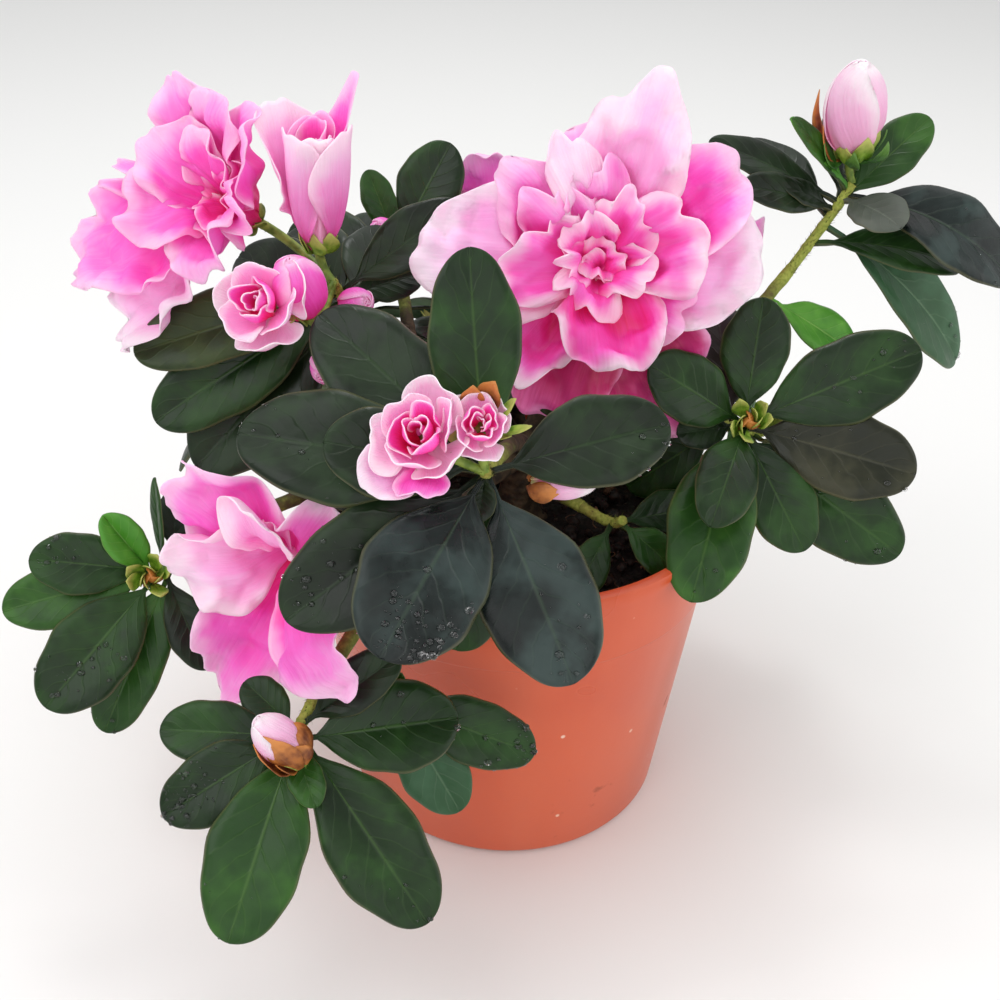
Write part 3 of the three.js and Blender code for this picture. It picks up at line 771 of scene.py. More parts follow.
def grown_whorl(seed, count, length):
    """A whorl with no leaf listed one by one: older leaves below, longer and lower, by the golden angle."""
    leaves = []
    for i in range(count):
        age = 1 - i / count
        leaves.append(
            leaf(
                GOLDEN_ANGLE * i + 30 * chance(seed + i),
                length * (0.62 + 0.38 * age) * (0.9 + 0.2 * chance(seed + 50 + i)),
                32 - 40 * age,
                down=1 + 8 * age,
                twist=20 * (chance(seed + 90 + i) - 0.5),
                tone="dark" if age > 0.6 else "green" if age > 0.25 else "fresh",
            )
        )
    return leaves


def sheet_faces(rows, columns):
    """Faces of a closed thin sheet: its front grid, its back grid and the strip round its edge."""

    def at(row, column, behind=0):
        return (behind * rows + row) * columns + column

    front = []
    back = []
    for r in range(rows - 1):
        for c in range(columns - 1):
            front.append([at(r, c), at(r + 1, c), at(r + 1, c + 1), at(r, c + 1)])
            back.append([at(r, c, 1), at(r, c + 1, 1), at(r + 1, c + 1, 1), at(r + 1, c, 1)])
    ring = [(r, 0) for r in range(rows)]
    ring += [(rows - 1, c) for c in range(1, columns)]
    ring += [(r, columns - 1) for r in range(rows - 2, -1, -1)]
    ring += [(0, c) for c in range(columns - 2, 0, -1)]
    edge = []
    for (r0, c0), (r1, c1) in zip(ring, ring[1:] + ring[:1]):
        edge.append([at(r1, c1), at(r0, c0), at(r0, c0, 1), at(r1, c1, 1)])
    return front, back, edge


def sheet_points(middle, thickness):
    """Front and back corners of a sheet from its middle surface, a grid of points, and its thickness."""
    down = np.gradient(middle, axis=0)
    over = np.gradient(middle, axis=1)
    normal = np.cross(over, down)
    size = np.linalg.norm(normal, axis=-1, keepdims=True)
    normal = normal / np.maximum(size, 1e-9)
    offset = normal * np.asarray(thickness)[..., None] / 2
    return np.concatenate([(middle + offset).reshape(-1, 3), (middle - offset).reshape(-1, 3)])


def oval_half_width(share):
    warped = np.power(np.clip(share, 0, 1), 1.15)
    return np.power(np.clip(4 * warped * (1 - warped), 0, 1), 0.85 - 0.35 * share)


def blade_surface(root, face, plan, seed):
    """The blade's middle surface as a grid of points, with its half width at each station."""
    axis, twelve, three = (np.array(v) for v in facing(face))
    clock = math.radians(plan["clock"])
    out = twelve * math.cos(clock) + three * math.sin(clock)

    def heading(angle):
        return np.outer(np.cos(angle), out) + np.outer(np.sin(angle), axis)

    shares = np.sin(np.linspace(0, math.pi / 2, ALONG))
    lift, arch = math.radians(plan["lift"]), math.radians(plan["arch"])
    middles = (shares[1:] + shares[:-1]) / 2
    steps = heading(lift - arch * middles) * np.diff(shares)[:, None] * plan["length"]
    centre = np.vstack([np.zeros(3), np.cumsum(steps, axis=0)]) + np.array(root) + out * STALK_HALF / 2
    ahead = heading(lift - arch * shares)
    upward = heading(lift - arch * shares + math.pi / 2)
    across = np.cross(ahead, upward)
    twist = math.radians(plan["twist"]) + math.radians(14) * (chance(seed + 0.3) - 0.5) * shares
    cos, sin = np.cos(twist)[:, None], np.sin(twist)[:, None]
    normal = upward * cos - across * sin
    side = np.cross(ahead, normal)
    on_blade = np.clip((shares - STALK_SHARE) / (1 - STALK_SHARE), 0, 1)
    half = np.maximum(oval_half_width(on_blade) * plan["length"] * plan["wide"] / 2, 0.12)
    half = np.where(shares <= STALK_SHARE + 0.03, np.maximum(half, STALK_HALF * 0.75), half)
    sway = plan["length"] * (0.05 * (chance(seed + 0.7) - 0.5)) * shares**2
    v = ACROSS[None, :]
    hollow = plan["fold"] * (np.abs(v) * (1 - 0.42 * v**2))
    margin = -0.1 * np.clip((np.abs(v) - 0.8) / 0.2, 0, 1) ** 2
    grow = np.clip(on_blade * 6, 0, 1)[:, None]
    ripple = plan["ripple"] * 0.035 * np.abs(v) ** 1.3
    wave = np.sin(on_blade[:, None] * (9 + 4 * chance(seed)) + np.sign(v) * 1.3 + seed)
    wave += 0.6 * np.sin(on_blade[:, None] * 19 + np.sign(v) * 2.1 + seed * 1.7)
    height = half[:, None] * grow * (hollow + margin + ripple * wave)
    groove = -0.22 * grow * np.exp(-((v * half[:, None] / 0.55) ** 2)) * (1 - 0.6 * on_blade[:, None])
    quilt = np.cos(on_blade[:, None] * 44 - np.abs(v) * 9 + np.sign(v) * 0.8) * np.abs(v) * (1 - np.abs(v))
    height = height + groove + 0.16 * grow * quilt * plan["ripple"]
    uneven = 0.03 * np.sin(on_blade[:, None] * 10 + np.sign(v) * 2 + seed * 3)
    uneven += 0.018 * np.sin(on_blade[:, None] * 23 + np.sign(v) * 5 + seed * 5)
    aside = v * half[:, None] * (1 + uneven * np.abs(v) * grow)
    grid = centre[:, None, :] + side[:, None, :] * (aside + sway[:, None])[..., None]
    grid = grid + normal[:, None, :] * height[..., None]
    return grid, half, shares


def blade_thickness(half, shares):
    rib = np.exp(-((ACROSS[None, :] * half[:, None] / 0.8) ** 2)) * (0.9 - 0.75 * shares[:, None])
    thin = BLADE_THICKNESS * (1 - 0.45 * ACROSS[None, :] ** 2)
    stalk = np.where(shares <= STALK_SHARE, 1.1, 0)[:, None]
    return np.maximum(thin + rib * 0.8, stalk)


def leaf_finish(name, dark, light, vein, gloss, swell=1.0):
    """Leaf skin: mottled greens, darker where wet, a midrib, side veins that curve forward and a thin
    pale rim. swell is how far it rises between its veins."""
    skin = Finish(f"leaf_{name}", IOR=1.46, Specular_IOR_Level=0.33)
    where = skin.node("ShaderNodeUVMap", {"uv_map": "blade"})
    u, v = skin.apart(where)
    side = (v * 2 - 1).absolute()
    drift = skin.mottle(150.0, 2.0)
    forward = u * 7.5 - side * 2.1 + (drift - 0.5) * 0.9
    branch = forward.zigzag(0.5).between(0.09, 0.0) * (1 - side * 0.7)
    rib = side.between(0.06, 0.0) * (1 - u * 0.7)
    broad = skin.mottle(70.0, 3.0).between(0.35, 0.65)
    wet = skin.mottle(105.0, 3.0).between(0.42, 0.58)
    fine = skin.mottle(900.0, 2.0)
    tint = skin.blend(broad * 0.7 + drift * 0.35, colour(dark), colour(light))
    tint = skin.blend(wet * 0.6, tint, colour(dark))
    tint = skin.blend(branch * 0.09, tint, colour(vein))
    tint = skin.blend(rib * 0.42, tint, colour(vein))
    tint = skin.blend(side.between(0.93, 0.985) * 0.4, tint, colour("6b6a48"))
    rough = gloss + 0.14 - wet * 0.12 + fine * 0.08
    quilt = forward.zigzag(0.5) * (1 - side * 0.5) * swell
    height = quilt * 0.5 + drift * 0.6 + fine * 0.12 - branch * 0.2 - rib * 0.5
    grain = skin.grain(height, 0.0004, 0.6)
    skin.fill(skin.shader, {"Base Color": tint, "Roughness": rough, "Normal": grain})
    return skin.material


LEAF_TONES = {
    "dark": leaf_finish("dark", "081106", "21361a", "3a562c", 0.26),
    "slate": leaf_finish("slate", "050908", "34423f", "4a6048", 0.2, 1.3),
    "green": leaf_finish("green", "0a1e06", "264818", "527634", 0.26),
    "leaf": leaf_finish("leaf", "16360e", "386420", "648640", 0.27),
    "fresh": leaf_finish("fresh", "1f4c16", "3b7426", "8fb85a", 0.3),
    "young": leaf_finish("young", "3a7a20", "66a63c", "b8d884", 0.32, 0.6),
    "olive": leaf_finish("olive", "1c2a12", "3a4a22", "6b7d45", 0.27),
    "maroon": leaf_finish("maroon", "1a0f0e", "2f1d1a", "4a3a2c", 0.26),
    "brown": leaf_finish("brown", "161a0e", "3a3a28", "62614a", 0.24, 1.2),
    "pale": leaf_finish("pale", "274a2a", "43684a", "8fab88", 0.33),
    "grey": leaf_finish("grey", "4a5048", "6f7468", "8c9484", 0.38),
}
LEAF_BACK = leaf_finish("underside", "4d6b48", "71906a", "9fb48a", 0.55, 0.7)
TONE_PLACES = {tone: place for place, tone in enumerate(LEAF_TONES)}
BACK_PLACE = len(LEAF_TONES)


def blade_map(shares):
    u = np.repeat(shares[:, None], len(ACROSS), axis=1)
    v = np.repeat((ACROSS[None, :] + 1) / 2, len(shares), axis=0)
    flat = np.stack([u, v], axis=-1).reshape(-1, 2)
    return np.concatenate([flat, flat])


# Each whorl's leaves. In the middle and at the back, where none is listed one by one, they follow the
# golden angle.
LEAVES = {
    "front": [
        leaf(352, 38, 24, wide=0.42, arch=8, down=1, tone="green", fold=0.16),
        leaf(276, 44, 8, wide=0.46, down=3, ripple=1.2, drops=8),
        leaf(277, 28, 22, wide=0.56, down=1, fold=0.2),
        leaf(229, 43, 12, wide=0.44, down=4.5, drops=14),
        leaf(206, 37, 20, wide=0.6, down=2, fold=0.12, ripple=1.3, drops=30, tone="slate"),
        leaf(155, 39, 8, wide=0.52, down=2.5, fold=0.16, ripple=1.2, drops=8, tone="slate"),
        leaf(72, 33, 8, wide=0.5, down=2, ripple=1.2, drops=4),
        leaf(189, 35, -18, wide=0.48, down=6, tone="green"),
        leaf(311, 42, 6, wide=0.44, down=5, ripple=1.3),
        leaf(186, 9, 22, wide=0.6, down=2),
    ],
    "front_low": [
        leaf(277, 24, 2, wide=0.48, tone="green"),
        leaf(243, 27, 4, wide=0.48, down=2.5, tone="green", drops=22),
        leaf(202, 38, 12, wide=0.46, down=3.5, tone="leaf", drops=2),
        leaf(149, 41, 10, wide=0.42, down=3, tone="green", drops=3),
        leaf(87, 30, 6, wide=0.57, down=1, drops=3, tone="green"),
        leaf(318, 13, 0, wide=0.6, down=3, tone="green"),
        leaf(60, 22, 24, wide=0.42, down=4, fold=0.5),
        leaf(164, 13, 30, wide=0.5, down=1, tone="leaf"),
    ],
    "front_mid": [
        leaf(112, 30, 4, wide=0.42, tone="green", drops=14),
        leaf(151, 27, 0, wide=0.48, down=4, tone="pale"),
        leaf(28, 8, 56, wide=0.5, down=1, tone="leaf"),
    ],
    "left_low": [
        leaf(284, 25, 10, wide=0.5, tone="green", drops=7),
        leaf(262, 33, 4, wide=0.4, down=4, tone="leaf", drops=2),
        leaf(225, 34, 10, wide=0.5, down=2, tone="green", drops=10),
        leaf(209, 37, 0, wide=0.36, down=5.5, tone="leaf", drops=4),
        leaf(164, 22, 8, wide=0.42, down=3, tone="dark"),
        leaf(327, 16, 30, wide=0.5, down=0.5, tone="young", fold=1.1),
        leaf(1, 19, 30, wide=0.26, twist=60, down=3, tone="leaf"),
        leaf(3, 15, 0, wide=0.42, down=6),
    ],
    "left_top": [
        leaf(252, 42, 10, wide=0.36, down=3, tone="olive"),
        leaf(237, 45, 4, wide=0.38, down=5, tone="green"),
        leaf(226, 45, 0, wide=0.48, down=7.5),
        leaf(54, 30, 18, wide=0.4, down=3),
        leaf(66, 17, -6, wide=0.5, down=4.5),
        leaf(300, 32, -20, wide=0.5, down=6),
        leaf(330, 30, -24, wide=0.5, down=7),
        leaf(20, 26, -24, wide=0.5, down=6),
    ],
    "right": [
        leaf(1, 26, 21, wide=0.54, arch=10, down=1, tone="green", fold=0.16, drops=1),
        leaf(349, 27, 2, wide=0.5, down=4, tone="maroon"),
        leaf(290, 26, 40, wide=0.56, down=1, tone="green"),
        leaf(63, 39, 16, wide=0.45, down=2, tone="green", drops=6),
        leaf(101, 37, 12, wide=0.49, down=2.5, tone="brown", drops=4),
        leaf(122, 45, 2, wide=0.4, down=5, tone="green", drops=4),
        leaf(150, 29, 10, wide=0.5, down=2, tone="green"),
        leaf(196, 30, 48, wide=0.42, arch=24, down=0.5, tone="green"),
        leaf(188, 42, 42, wide=0.42, arch=40, down=4, tone="leaf", drops=2),
        leaf(252, 14, 34, wide=0.6, down=3),
        leaf(234, 25, -16, wide=0.5, down=6, tone="green"),
    ],
    "right_top": [
        leaf(54, 27, 24, wide=0.42, arch=4, down=4, tone="leaf"),
        leaf(117, 43, 22, wide=0.46, arch=58, down=2, tone="slate", ripple=1.2, drops=3),
        leaf(118, 54, -14, wide=0.34, arch=40, down=10, tone="pale", drops=3),
        leaf(150, 17, 44, wide=0.76, arch=34, down=3, tone="grey"),
        leaf(286, 14, 30, wide=0.5, down=6),
        leaf(118, 26, -10, wide=0.5, down=31, tone="young"),
        leaf(99, 36, 16, wide=0.32, arch=40, down=15, tone="green"),
        leaf(294, 32, 18, wide=0.32, down=4),
        leaf(276, 24, 26, wide=0.4, down=6),
        leaf(300, 22, 44, wide=0.27, down=0.5, tone="young"),
        leaf(303, 22, 46, wide=0.28, down=1, tone="leaf"),
        leaf(20, 30, 6, wide=0.45, down=5),
        leaf(335, 30, -4, wide=0.45, down=8),
    ],
    "back_left": [
        leaf(30, 25, 23, wide=0.58, arch=10, down=1, tone="green", fold=0.16),
        leaf(337, 18, 26, wide=0.42, arch=10, down=2, tone="leaf"),
        leaf(57, 24, 10, wide=0.36, down=3, tone="young"),
        leaf(290, 30, -10, wide=0.48, down=4),
        leaf(250, 28, -16, wide=0.48, down=6),
        leaf(320, 34, -30, wide=0.48, down=8),
        leaf(10, 34, -34, wide=0.48, down=7),
    ],
    "top": grown_whorl(400, 8, 34),
    "middle": grown_whorl(455, 8, 32),
    "left": [
        leaf(300, 24, 0, wide=0.5),
        leaf(225, 18, -10, wide=0.5, down=5),
    ],
    "low_right": [
        leaf(150, 16, 16, wide=0.6, arch=30, down=1, tone="leaf"),
        leaf(95, 22, 4, wide=0.46, tone="green"),
        leaf(230, 20, 6, wide=0.42, down=3, tone="green"),
    ],
    "back": grown_whorl(507, 11, 38),
    "back_right": grown_whorl(611, 10, 36),
    "left_back": grown_whorl(722, 10, 34),
    "back_low": grown_whorl(833, 9, 32),
    "right_low": grown_whorl(944, 9, 32),
}
BLADES = []


def build_whorl(name, order):
    shoot = SHOOTS[name]
    whorl = Heap()
    length = line_length(PATHS[name])
    for number, plan in enumerate(LEAVES[name]):
        seed = order * 20 + number * 1.7
        root = along(PATHS[name], 1 - (plan["down"] + 1) / length)
        grid, half, shares = blade_surface(root, shoot["face"], plan, seed)
        front, back, edge = sheet_faces(*grid.shape[:2])
        points = sheet_points(grid, blade_thickness(half, shares))
        tone = TONE_PLACES[plan["tone"]]
        looks = [tone] * len(front) + [BACK_PLACE] * len(back) + [tone] * len(edge)
        whorl.add(points, front + back + edge, looks, blade_map(shares))
        BLADES.append((grid, plan["drops"], seed))
    finishes = [*LEAF_TONES.values(), LEAF_BACK]
    keep(whorl.build(f"leaves_{name}", finishes), "leaf", f"foliage_{name}")


for order, name in enumerate(SHOOTS):
    build_whorl(name, order)

# Flower stalks: each flower stands on a hairy green stalk that grows from its shoot's tip and ends in five
# small pointed sepals. A sepal is a thin sheet like a petal, and made by the same rule.
STALK_RADIUS = 0.8
STALK_HAIRS = 70
WIDEST_WRAP = 1.9
FINE = (34, 29)
TINY = (12, 7)


def petal(clock, length, width, opens, **more):
    """A petal's plan: its direction round its flower as on a clock face, its length, its width, and how
    far it points away from the flower's axis at its foot, middle and tip, in degrees. Where it needs
    them: foot, its distance from the axis; rise, how far up the axis it starts; cup, how much it wraps
    round the axis; lap, how far one edge lies over the next petal; furl, how far its tip turns round
    the axis; ruffle and frill, how its margin waves; crumple; curl, how far its margin rolls back;
    point, how far its tip is drawn out; notch; narrow, the width of its foot as a share of its width;
    hug, for one that stays wrapped round its bud; grain, how finely its sheet is divided; base and face,
    where it belongs to a bud that stands beside the flower."""
    plan = {"clock": clock, "length": length, "width": width, "opens": opens, "tone": "pink"}
    place = {"foot": 1.3, "rise": 0.0, "cup": 0.55, "lap": 0.8, "furl": 0.0, "hug": False}
    edge = {"ruffle": 0.9, "frill": 0.25, "crumple": 1.0, "curl": 0.15, "point": 0.0, "notch": 0.03}
    return {**plan, **place, **edge, "narrow": 0.14, "grain": FINE, **more}


def smooth(value):
    value = np.clip(value, 0, 1)
    return value * value * (3 - 2 * value)


def petal_surface(plan, base, face, seed):
    """A petal's middle surface as a grid of points, with its length and width shares for its finish."""
    axis, twelve, three = (np.array(v) for v in facing(face))
    rows, columns = plan["grain"]
    y = np.linspace(-1, 1, rows)[:, None]
    x = np.linspace(-1, 1, columns)[None, :]
    over = x * np.sqrt(1 - y**2 / 2)
    up = y * np.sqrt(1 - x**2 / 2)
    share = (up + 1) / 2
    length, half = plan["length"], plan["width"] / 2
    foot, middle, tip = (math.radians(angle) for angle in plan["opens"])
    steps = np.linspace(0, 1.3, 100)
    swing = foot * (2 * steps - 1) * (steps - 1) + 4 * middle * steps * (1 - steps)
    swing = swing + tip * steps * (2 * steps - 1)
    radii = plan["foot"] + np.cumsum(np.sin(swing)) * length * steps[1]
    heights = plan["rise"] + np.cumsum(np.cos(swing)) * length * steps[1]
    around = np.arctan2(over * half, (share - 0.3) * length)
    rim = smooth((np.sqrt(over**2 + up**2) - 0.3) / 0.7) * smooth((share - 0.12) / 0.3)
    ragged = 0.035 * np.sin(around * 5 + seed * 3) + 0.018 * np.sin(around * 11 + seed * 5)
    ragged = ragged * plan["ruffle"] + plan["frill"] * 0.012 * np.sin(around * 19 + seed * 2)
    drawn = plan["point"] * np.exp(-((over / 0.28) ** 2)) - plan["notch"] * np.exp(-((over / 0.12) ** 2))
    reach = share * (1 + np.clip(share - 0.5, 0, 1) * (ragged + drawn) * 2)
    tilt = np.interp(reach, steps, swing)
    radius = np.interp(reach, steps, radii)
    height = np.interp(reach, steps, heights)
    broad = plan["narrow"] + (1 - plan["narrow"]) * smooth(reach / 0.68)
    aside = over * half * broad * (1 + ragged)
    bend_radius = (np.maximum(radius, 0.6) + 0.4) / max(plan["cup"], 0.01)
    wrap = np.clip(aside / bend_radius, -WIDEST_WRAP, WIDEST_WRAP)
    spare = 0 if plan["hug"] else aside - wrap * bend_radius
    outward = radius - bend_radius * (1 - np.cos(wrap)) - spare * np.sin(wrap)
    sideways = bend_radius * np.sin(wrap) + spare * np.cos(wrap)
    ring = math.radians(plan["clock"]) + sideways / np.maximum(radius, 3)
    waves = 1.4 + np.sin(around * (4.3 + chance(seed)) + seed * 2.1)
    waves = waves + 0.6 * np.sin(around * 8.7 + seed * 4.7)
    frills = 1.6 + np.sin(around * 11.3 + seed * 1.3) + 0.7 * np.sin(around * 17 + seed * 2.9)
    ripple = plan["ruffle"] * 0.05 * waves * rim**2 + plan["frill"] * 0.055 * frills * rim**3
    own = base[0] * 0.73 + base[2] * 0.31
    folds = [
        noise.noise(Vector((a, b, own))) + 0.45 * noise.noise(Vector((b * 2.4, a * 2.4, own)))
        for a, b in zip((radius * np.cos(ring) / 8).ravel(), (radius * np.sin(ring) / 8).ravel())
    ]
    crumple = plan["crumple"] * 0.9 * math.sqrt(length) * np.array(folds).reshape(share.shape)
    crumple = crumple * smooth(share / 0.35)
    keel = -0.025 * length * np.exp(-((over / 0.14) ** 2)) * smooth(share / 0.3) * (1.2 - share)
    lift = length * ripple + crumple + keel + plan["lap"] * over * smooth(share / 0.3)
    lift = lift - plan["curl"] * length * 0.2 * rim**5
    outward = outward - np.cos(tilt) * np.cos(wrap) * lift
    sideways = sideways - np.cos(tilt) * np.sin(wrap) * lift
    height = height + np.sin(tilt) * lift
    turn = math.radians(plan["clock"]) + math.radians(plan["furl"]) * share
    east = outward * np.cos(turn) - sideways * np.sin(turn)
    north = outward * np.sin(turn) + sideways * np.cos(turn)
    grid = np.array(base) + height[..., None] * axis + east[..., None] * twelve + north[..., None] * three
    return grid, share, over


def add_petal(heap, plan, base, face, seed, look=0, thickness=0.26, nest=None):
    grid, share, over = petal_surface(plan, base, face, seed)
    if nest and not plan["hug"]:
        grid = nest.press(grid)
    front, back, edge = sheet_faces(*plan["grain"])
    thick = thickness * (1.15 - 0.75 * (share**2 + over**2) / 2)
    flat = np.stack([share, (over + 1) / 2], axis=-1)[:, ::-1].reshape(-1, 2)
    points = sheet_points(grid[:, ::-1], thick[:, ::-1])
    heap.add(points, front + back + edge, look, np.concatenate([flat, flat]), value=chance(seed * 1.37))


def wrapper(clock, length, width, opens, foot, tone):
    """A scale that wrapped the bud in winter, or one of its small green bracts."""
    stiff = {"cup": 0.8, "ruffle": 0.1, "frill": 0.05, "crumple": 0.25, "point": 0.2, "narrow": 0.5}
    stiff = {**stiff, "rise": -0.6, "hug": True, "grain": TINY}
    return petal(clock, length, width, opens, foot=foot, tone=tone, **stiff)


def scale_finish(name, dark, light, tip, gloss):
    """A small scale or sepal: one colour at its foot, another at its tip, with fine lengthwise lines."""
    skin = Finish(name, IOR=1.45)
    where = skin.node("ShaderNodeUVMap", {"uv_map": "blade"})
    u, v = skin.apart(where)
    drift = skin.mottle(500.0, 2.0)
    tint = skin.blend(drift.between(0.3, 0.7), colour(dark), colour(light))
    tint = skin.blend((u + (drift - 0.5) * 0.3).between(0.5, 0.95), tint, colour(tip))
    line = (v * 7 + drift * 0.6).zigzag(0.5)
    grain = skin.grain(line * 0.6 + drift * 0.4, 0.0002, 0.6)
    skin.fill(skin.shader, {"Base Color": tint, "Roughness": gloss + drift * 0.15, "Normal": grain})
    return skin.material


# Each flower stands at a shoot's tip. base is where its petals start, face how many degrees it looks to the
# right and above level, and calyx how far its sepals point away from its axis.
FLOWERS = {
    "bud_front_large": {
        "shoot": "front",
        "base": (-16, -53.5, 117),
        "face": (-14, 46),
        "calyx": (105, 80, 40),
    },
    "bud_front_small": {
        "shoot": "front",
        "base": (-7, -52.5, 119),
        "face": (6, 46),
        "calyx": (105, 80, 40),
    },
    "bud_left_open": {
        "shoot": "left_top",
        "base": (-46.5, -20, 124),
        "face": (-24, 36),
        "calyx": (105, 80, 40),
    },
    "bud_left_closed": {"shoot": "left_top", "base": (-41, -14.5, 120.5), "face": (-20, 66)},
    "bud_right_top": {"shoot": "right_top", "base": (70.5, 43, 136.5), "face": (-30, 80)},
    "bud_front_low": {"shoot": "front_low", "base": (-36.5, -73, 62), "face": (-100, 47)},
    "bloom_top": {"shoot": "top", "base": (13, 12, 120), "face": (4, 30)},
    "bloom_left_top": {"shoot": "left_top", "base": (-54, 8, 130), "face": (-40, 34)},
    "bloom_half_open": {"shoot": "left_top", "base": (-41, 2, 127), "face": (15, 82)},
    "bloom_left": {"shoot": "left", "base": (-40, -31, 80), "face": (-14, 8)},
    "bloom_back": {"shoot": "back", "base": (-4, 57, 101), "face": (176, 40)},
    "bloom_back_right": {"shoot": "back_right", "base": (41, 49, 107), "face": (125, 56)},
}


def flower_stalk_line(flower):
    foot = Vector(flower["base"])
    axis = facing(flower["face"])[0]
    start = PATHS[flower["shoot"]][-1]
    lead = foot - axis * ((start - foot).length / 2)
    return arc([start, lead, foot + axis * 0.6], 20)


def build_stalks():
    stalks = Heap()
    for order, flower in enumerate(FLOWERS.values()):
        base, face = flower["base"], flower["face"]
        line = flower_stalk_line(flower)
        rod = Rod(line, STALK_RADIUS, STALK_RADIUS * 1.25, 24, 10)
        stalks.add(rod.points, rod.faces)
        add_bristles(stalks, line, STALK_RADIUS, STALK_HAIRS, order * 33, length=0.8)
        for sepal in range(5):
            plan = wrapper(36 + 72 * sepal, 4.6, 2.4, flower.get("calyx", (78, 25, 34)), 0.7, "bract")
            add_petal(stalks, plan, base, face, order + sepal, thickness=0.3)
    green = scale_finish("stalk_green", "55701f", "8fa344", "a0a850", 0.45)
    keep(stalks.build("flower_stalks", [green]), "leaf")


build_stalks()

# Blooms and buds: petals that grow from the end of their stalk, thin and silky, crimson in the throat, then
# pink, and almost white at their ruffled margins. A double bloom has rings of them, smaller and more
# crumpled towards its middle. Every petal has a faint painted glow in its own tint, for the light that
# shines through it, and the two lowest outer petals of the top bloom are painted a deeper crimson for the
# shade they lie in.
PETAL_GAP = 0.36
INNER = {"ruffle": 1.2, "frill": 1.0, "curl": 0.9, "crumple": 1.0, "lap": 1.0, "tone": "rose"}
MIDDLE = {**INNER, "tone": "pink"}
HEART = {"ruffle": 1.3, "frill": 0.9, "curl": 1.1, "crumple": 1.0, "lap": 1.0, "tone": "rose"}
SMALL = {"grain": (22, 15)}
TUBE = {"cup": 0.95, "ruffle": 0.12, "frill": 0.04, "crumple": 0.12, "curl": 0.1, "tone": "pale"}


def petal_ring(count, length, width, opens, clock=0, seed=0, vary=1.0, **more):
    """A ring of like petals. vary is how much they differ from each other."""
    ring = []
    for i in range(count):
        bend = vary * 14 * (chance(seed + i * 1.9) - 0.5)
        ring.append(
            petal(
                clock + 360 * i / count + vary * 22 * (chance(seed + i) - 0.5),
                length * (1 + vary * 0.2 * (chance(seed + 20 + i) - 0.5)),
                width * (1 + vary * 0.24 * (chance(seed + 40 + i) - 0.5)),
                tuple(angle + bend * share for angle, share in zip(opens, (0.2, 1, 1.6))),
                **more,
            )
        )
    return ring


def finer(values):
    """A grid with more points, halfway between its own."""
    for _ in range(2):
        both = np.empty((2 * len(values) - 1, *values.shape[1:]))
        both[::2] = values
        both[1::2] = (values[1:] + values[:-1]) / 2
        values = both.swapaxes(0, 1)
    return values


def evened(push, reach=2):
    """A push spread over its neighbours, nowhere less than it was."""
    window = (2 * reach + 1, 2 * reach + 1)
    for pick in (np.max, np.mean):
        padded = np.pad(push, reach, "edge")
        push = pick(np.lib.stride_tricks.sliding_window_view(padded, window), axis=(2, 3))
    return push


class Nest:
    """Petals that lie on each other. Each one, from the outermost inwards, is pressed clear of those
    already laid. lowest holds how far out from the flower's axis the room ends, in cells by distance and
    clock."""

    SPAN = (120, 240)
    CELL = 0.5
    LEAST = 0.62

    def __init__(self, base, face):
        self.base = np.array(base)
        self.frame = np.array([tuple(direction) for direction in facing(face)])
        self.lowest = np.full(self.SPAN, math.pi)

    def polar(self, grid):
        local = (grid - self.base) @ self.frame.T
        lean = np.arctan2(np.hypot(local[..., 1], local[..., 2]), local[..., 0])
        return np.linalg.norm(local, axis=-1), lean, np.arctan2(local[..., 2], local[..., 1])

    def cell(self, far, clock, ring=0, sector=0):
        rings, sectors = self.SPAN
        row = np.clip((far / self.CELL).astype(int) + ring, 0, rings - 1)
        return row, ((clock / math.tau % 1) * sectors + sector).astype(int) % sectors

    def press(self, grid):
        far, lean, clock = self.polar(grid)
        near = [self.lowest[self.cell(far, clock, i, j)] for i in (-1, 0, 1) for j in (-1, 0, 1)]
        room = np.min(near, axis=0) - PETAL_GAP / np.maximum(far, 1)
        push = evened(np.maximum(lean - room, 0)) * smooth((far - 2) / 4)
        lean = np.maximum(lean - push, lean * self.LEAST)
        around = np.sin(lean)
        local = np.stack([np.cos(lean), around * np.cos(clock), around * np.sin(clock)], axis=-1)
        grid = self.base + (local * far[..., None]) @ self.frame
        far, lean, clock = self.polar(finer(finer(grid)))
        np.minimum.at(self.lowest, self.cell(far, clock), lean)
        return grid


def double_bloom(reach, seed):
    """Rings of petals, from the widest to the crumpled ones in the middle."""
    return [
        *petal_ring(5, reach * 1.08, reach * 0.84, (22, 66, 92), 0, seed, point=0.08),
        *petal_ring(5, reach * 0.9, reach * 0.7, (14, 50, 78), 36, seed + 5, **INNER),
        *petal_ring(4, reach * 0.68, reach * 0.54, (8, 34, 62), 0, seed + 9, **HEART),
        *petal_ring(4, reach * 0.48, reach * 0.4, (2, 20, 46), 36, seed + 13, **HEART),
        *petal_ring(3, reach * 0.34, reach * 0.3, (0, 6, 24), 0, seed + 17, **HEART, **SMALL),
    ]


def rosette(reach, clock, seed):
    """A bud that has begun to open: cupped petals packed round each other like a rose's."""
    cupped = {"ruffle": 0.6, "frill": 0.1, "crumple": 0.4, "notch": 0.0, "foot": 0.6, "grain": (24, 19)}
    cupped = {**cupped, "vary": 0.7, "curl": 0.3, "lap": reach * 0.1, "cup": 0.9}
    outer = {**cupped, "tone": "bud", "cup": 0.85}
    middle = {**cupped, "tone": "pale"}
    inner = {**cupped, "tone": "rose", "curl": 0.15, "ruffle": 0.9}
    return [
        *petal_ring(3, reach * 1.8, reach * 2.3, (82, 66, -6), clock, seed, **outer),
        *petal_ring(3, reach * 1.65, reach * 1.9, (60, 42, -6), clock + 60, seed + 3, **middle),
        *petal_ring(3, reach * 1.5, reach * 1.6, (42, 26, -4), clock, seed + 6, **inner),
        *petal_ring(2, reach * 1.35, reach * 1.3, (26, 12, -4), clock + 50, seed + 9, **inner),
        *petal_ring(1, reach * 1.2, reach * 1.0, (10, 2, -4), clock, seed + 12, **inner),
    ]


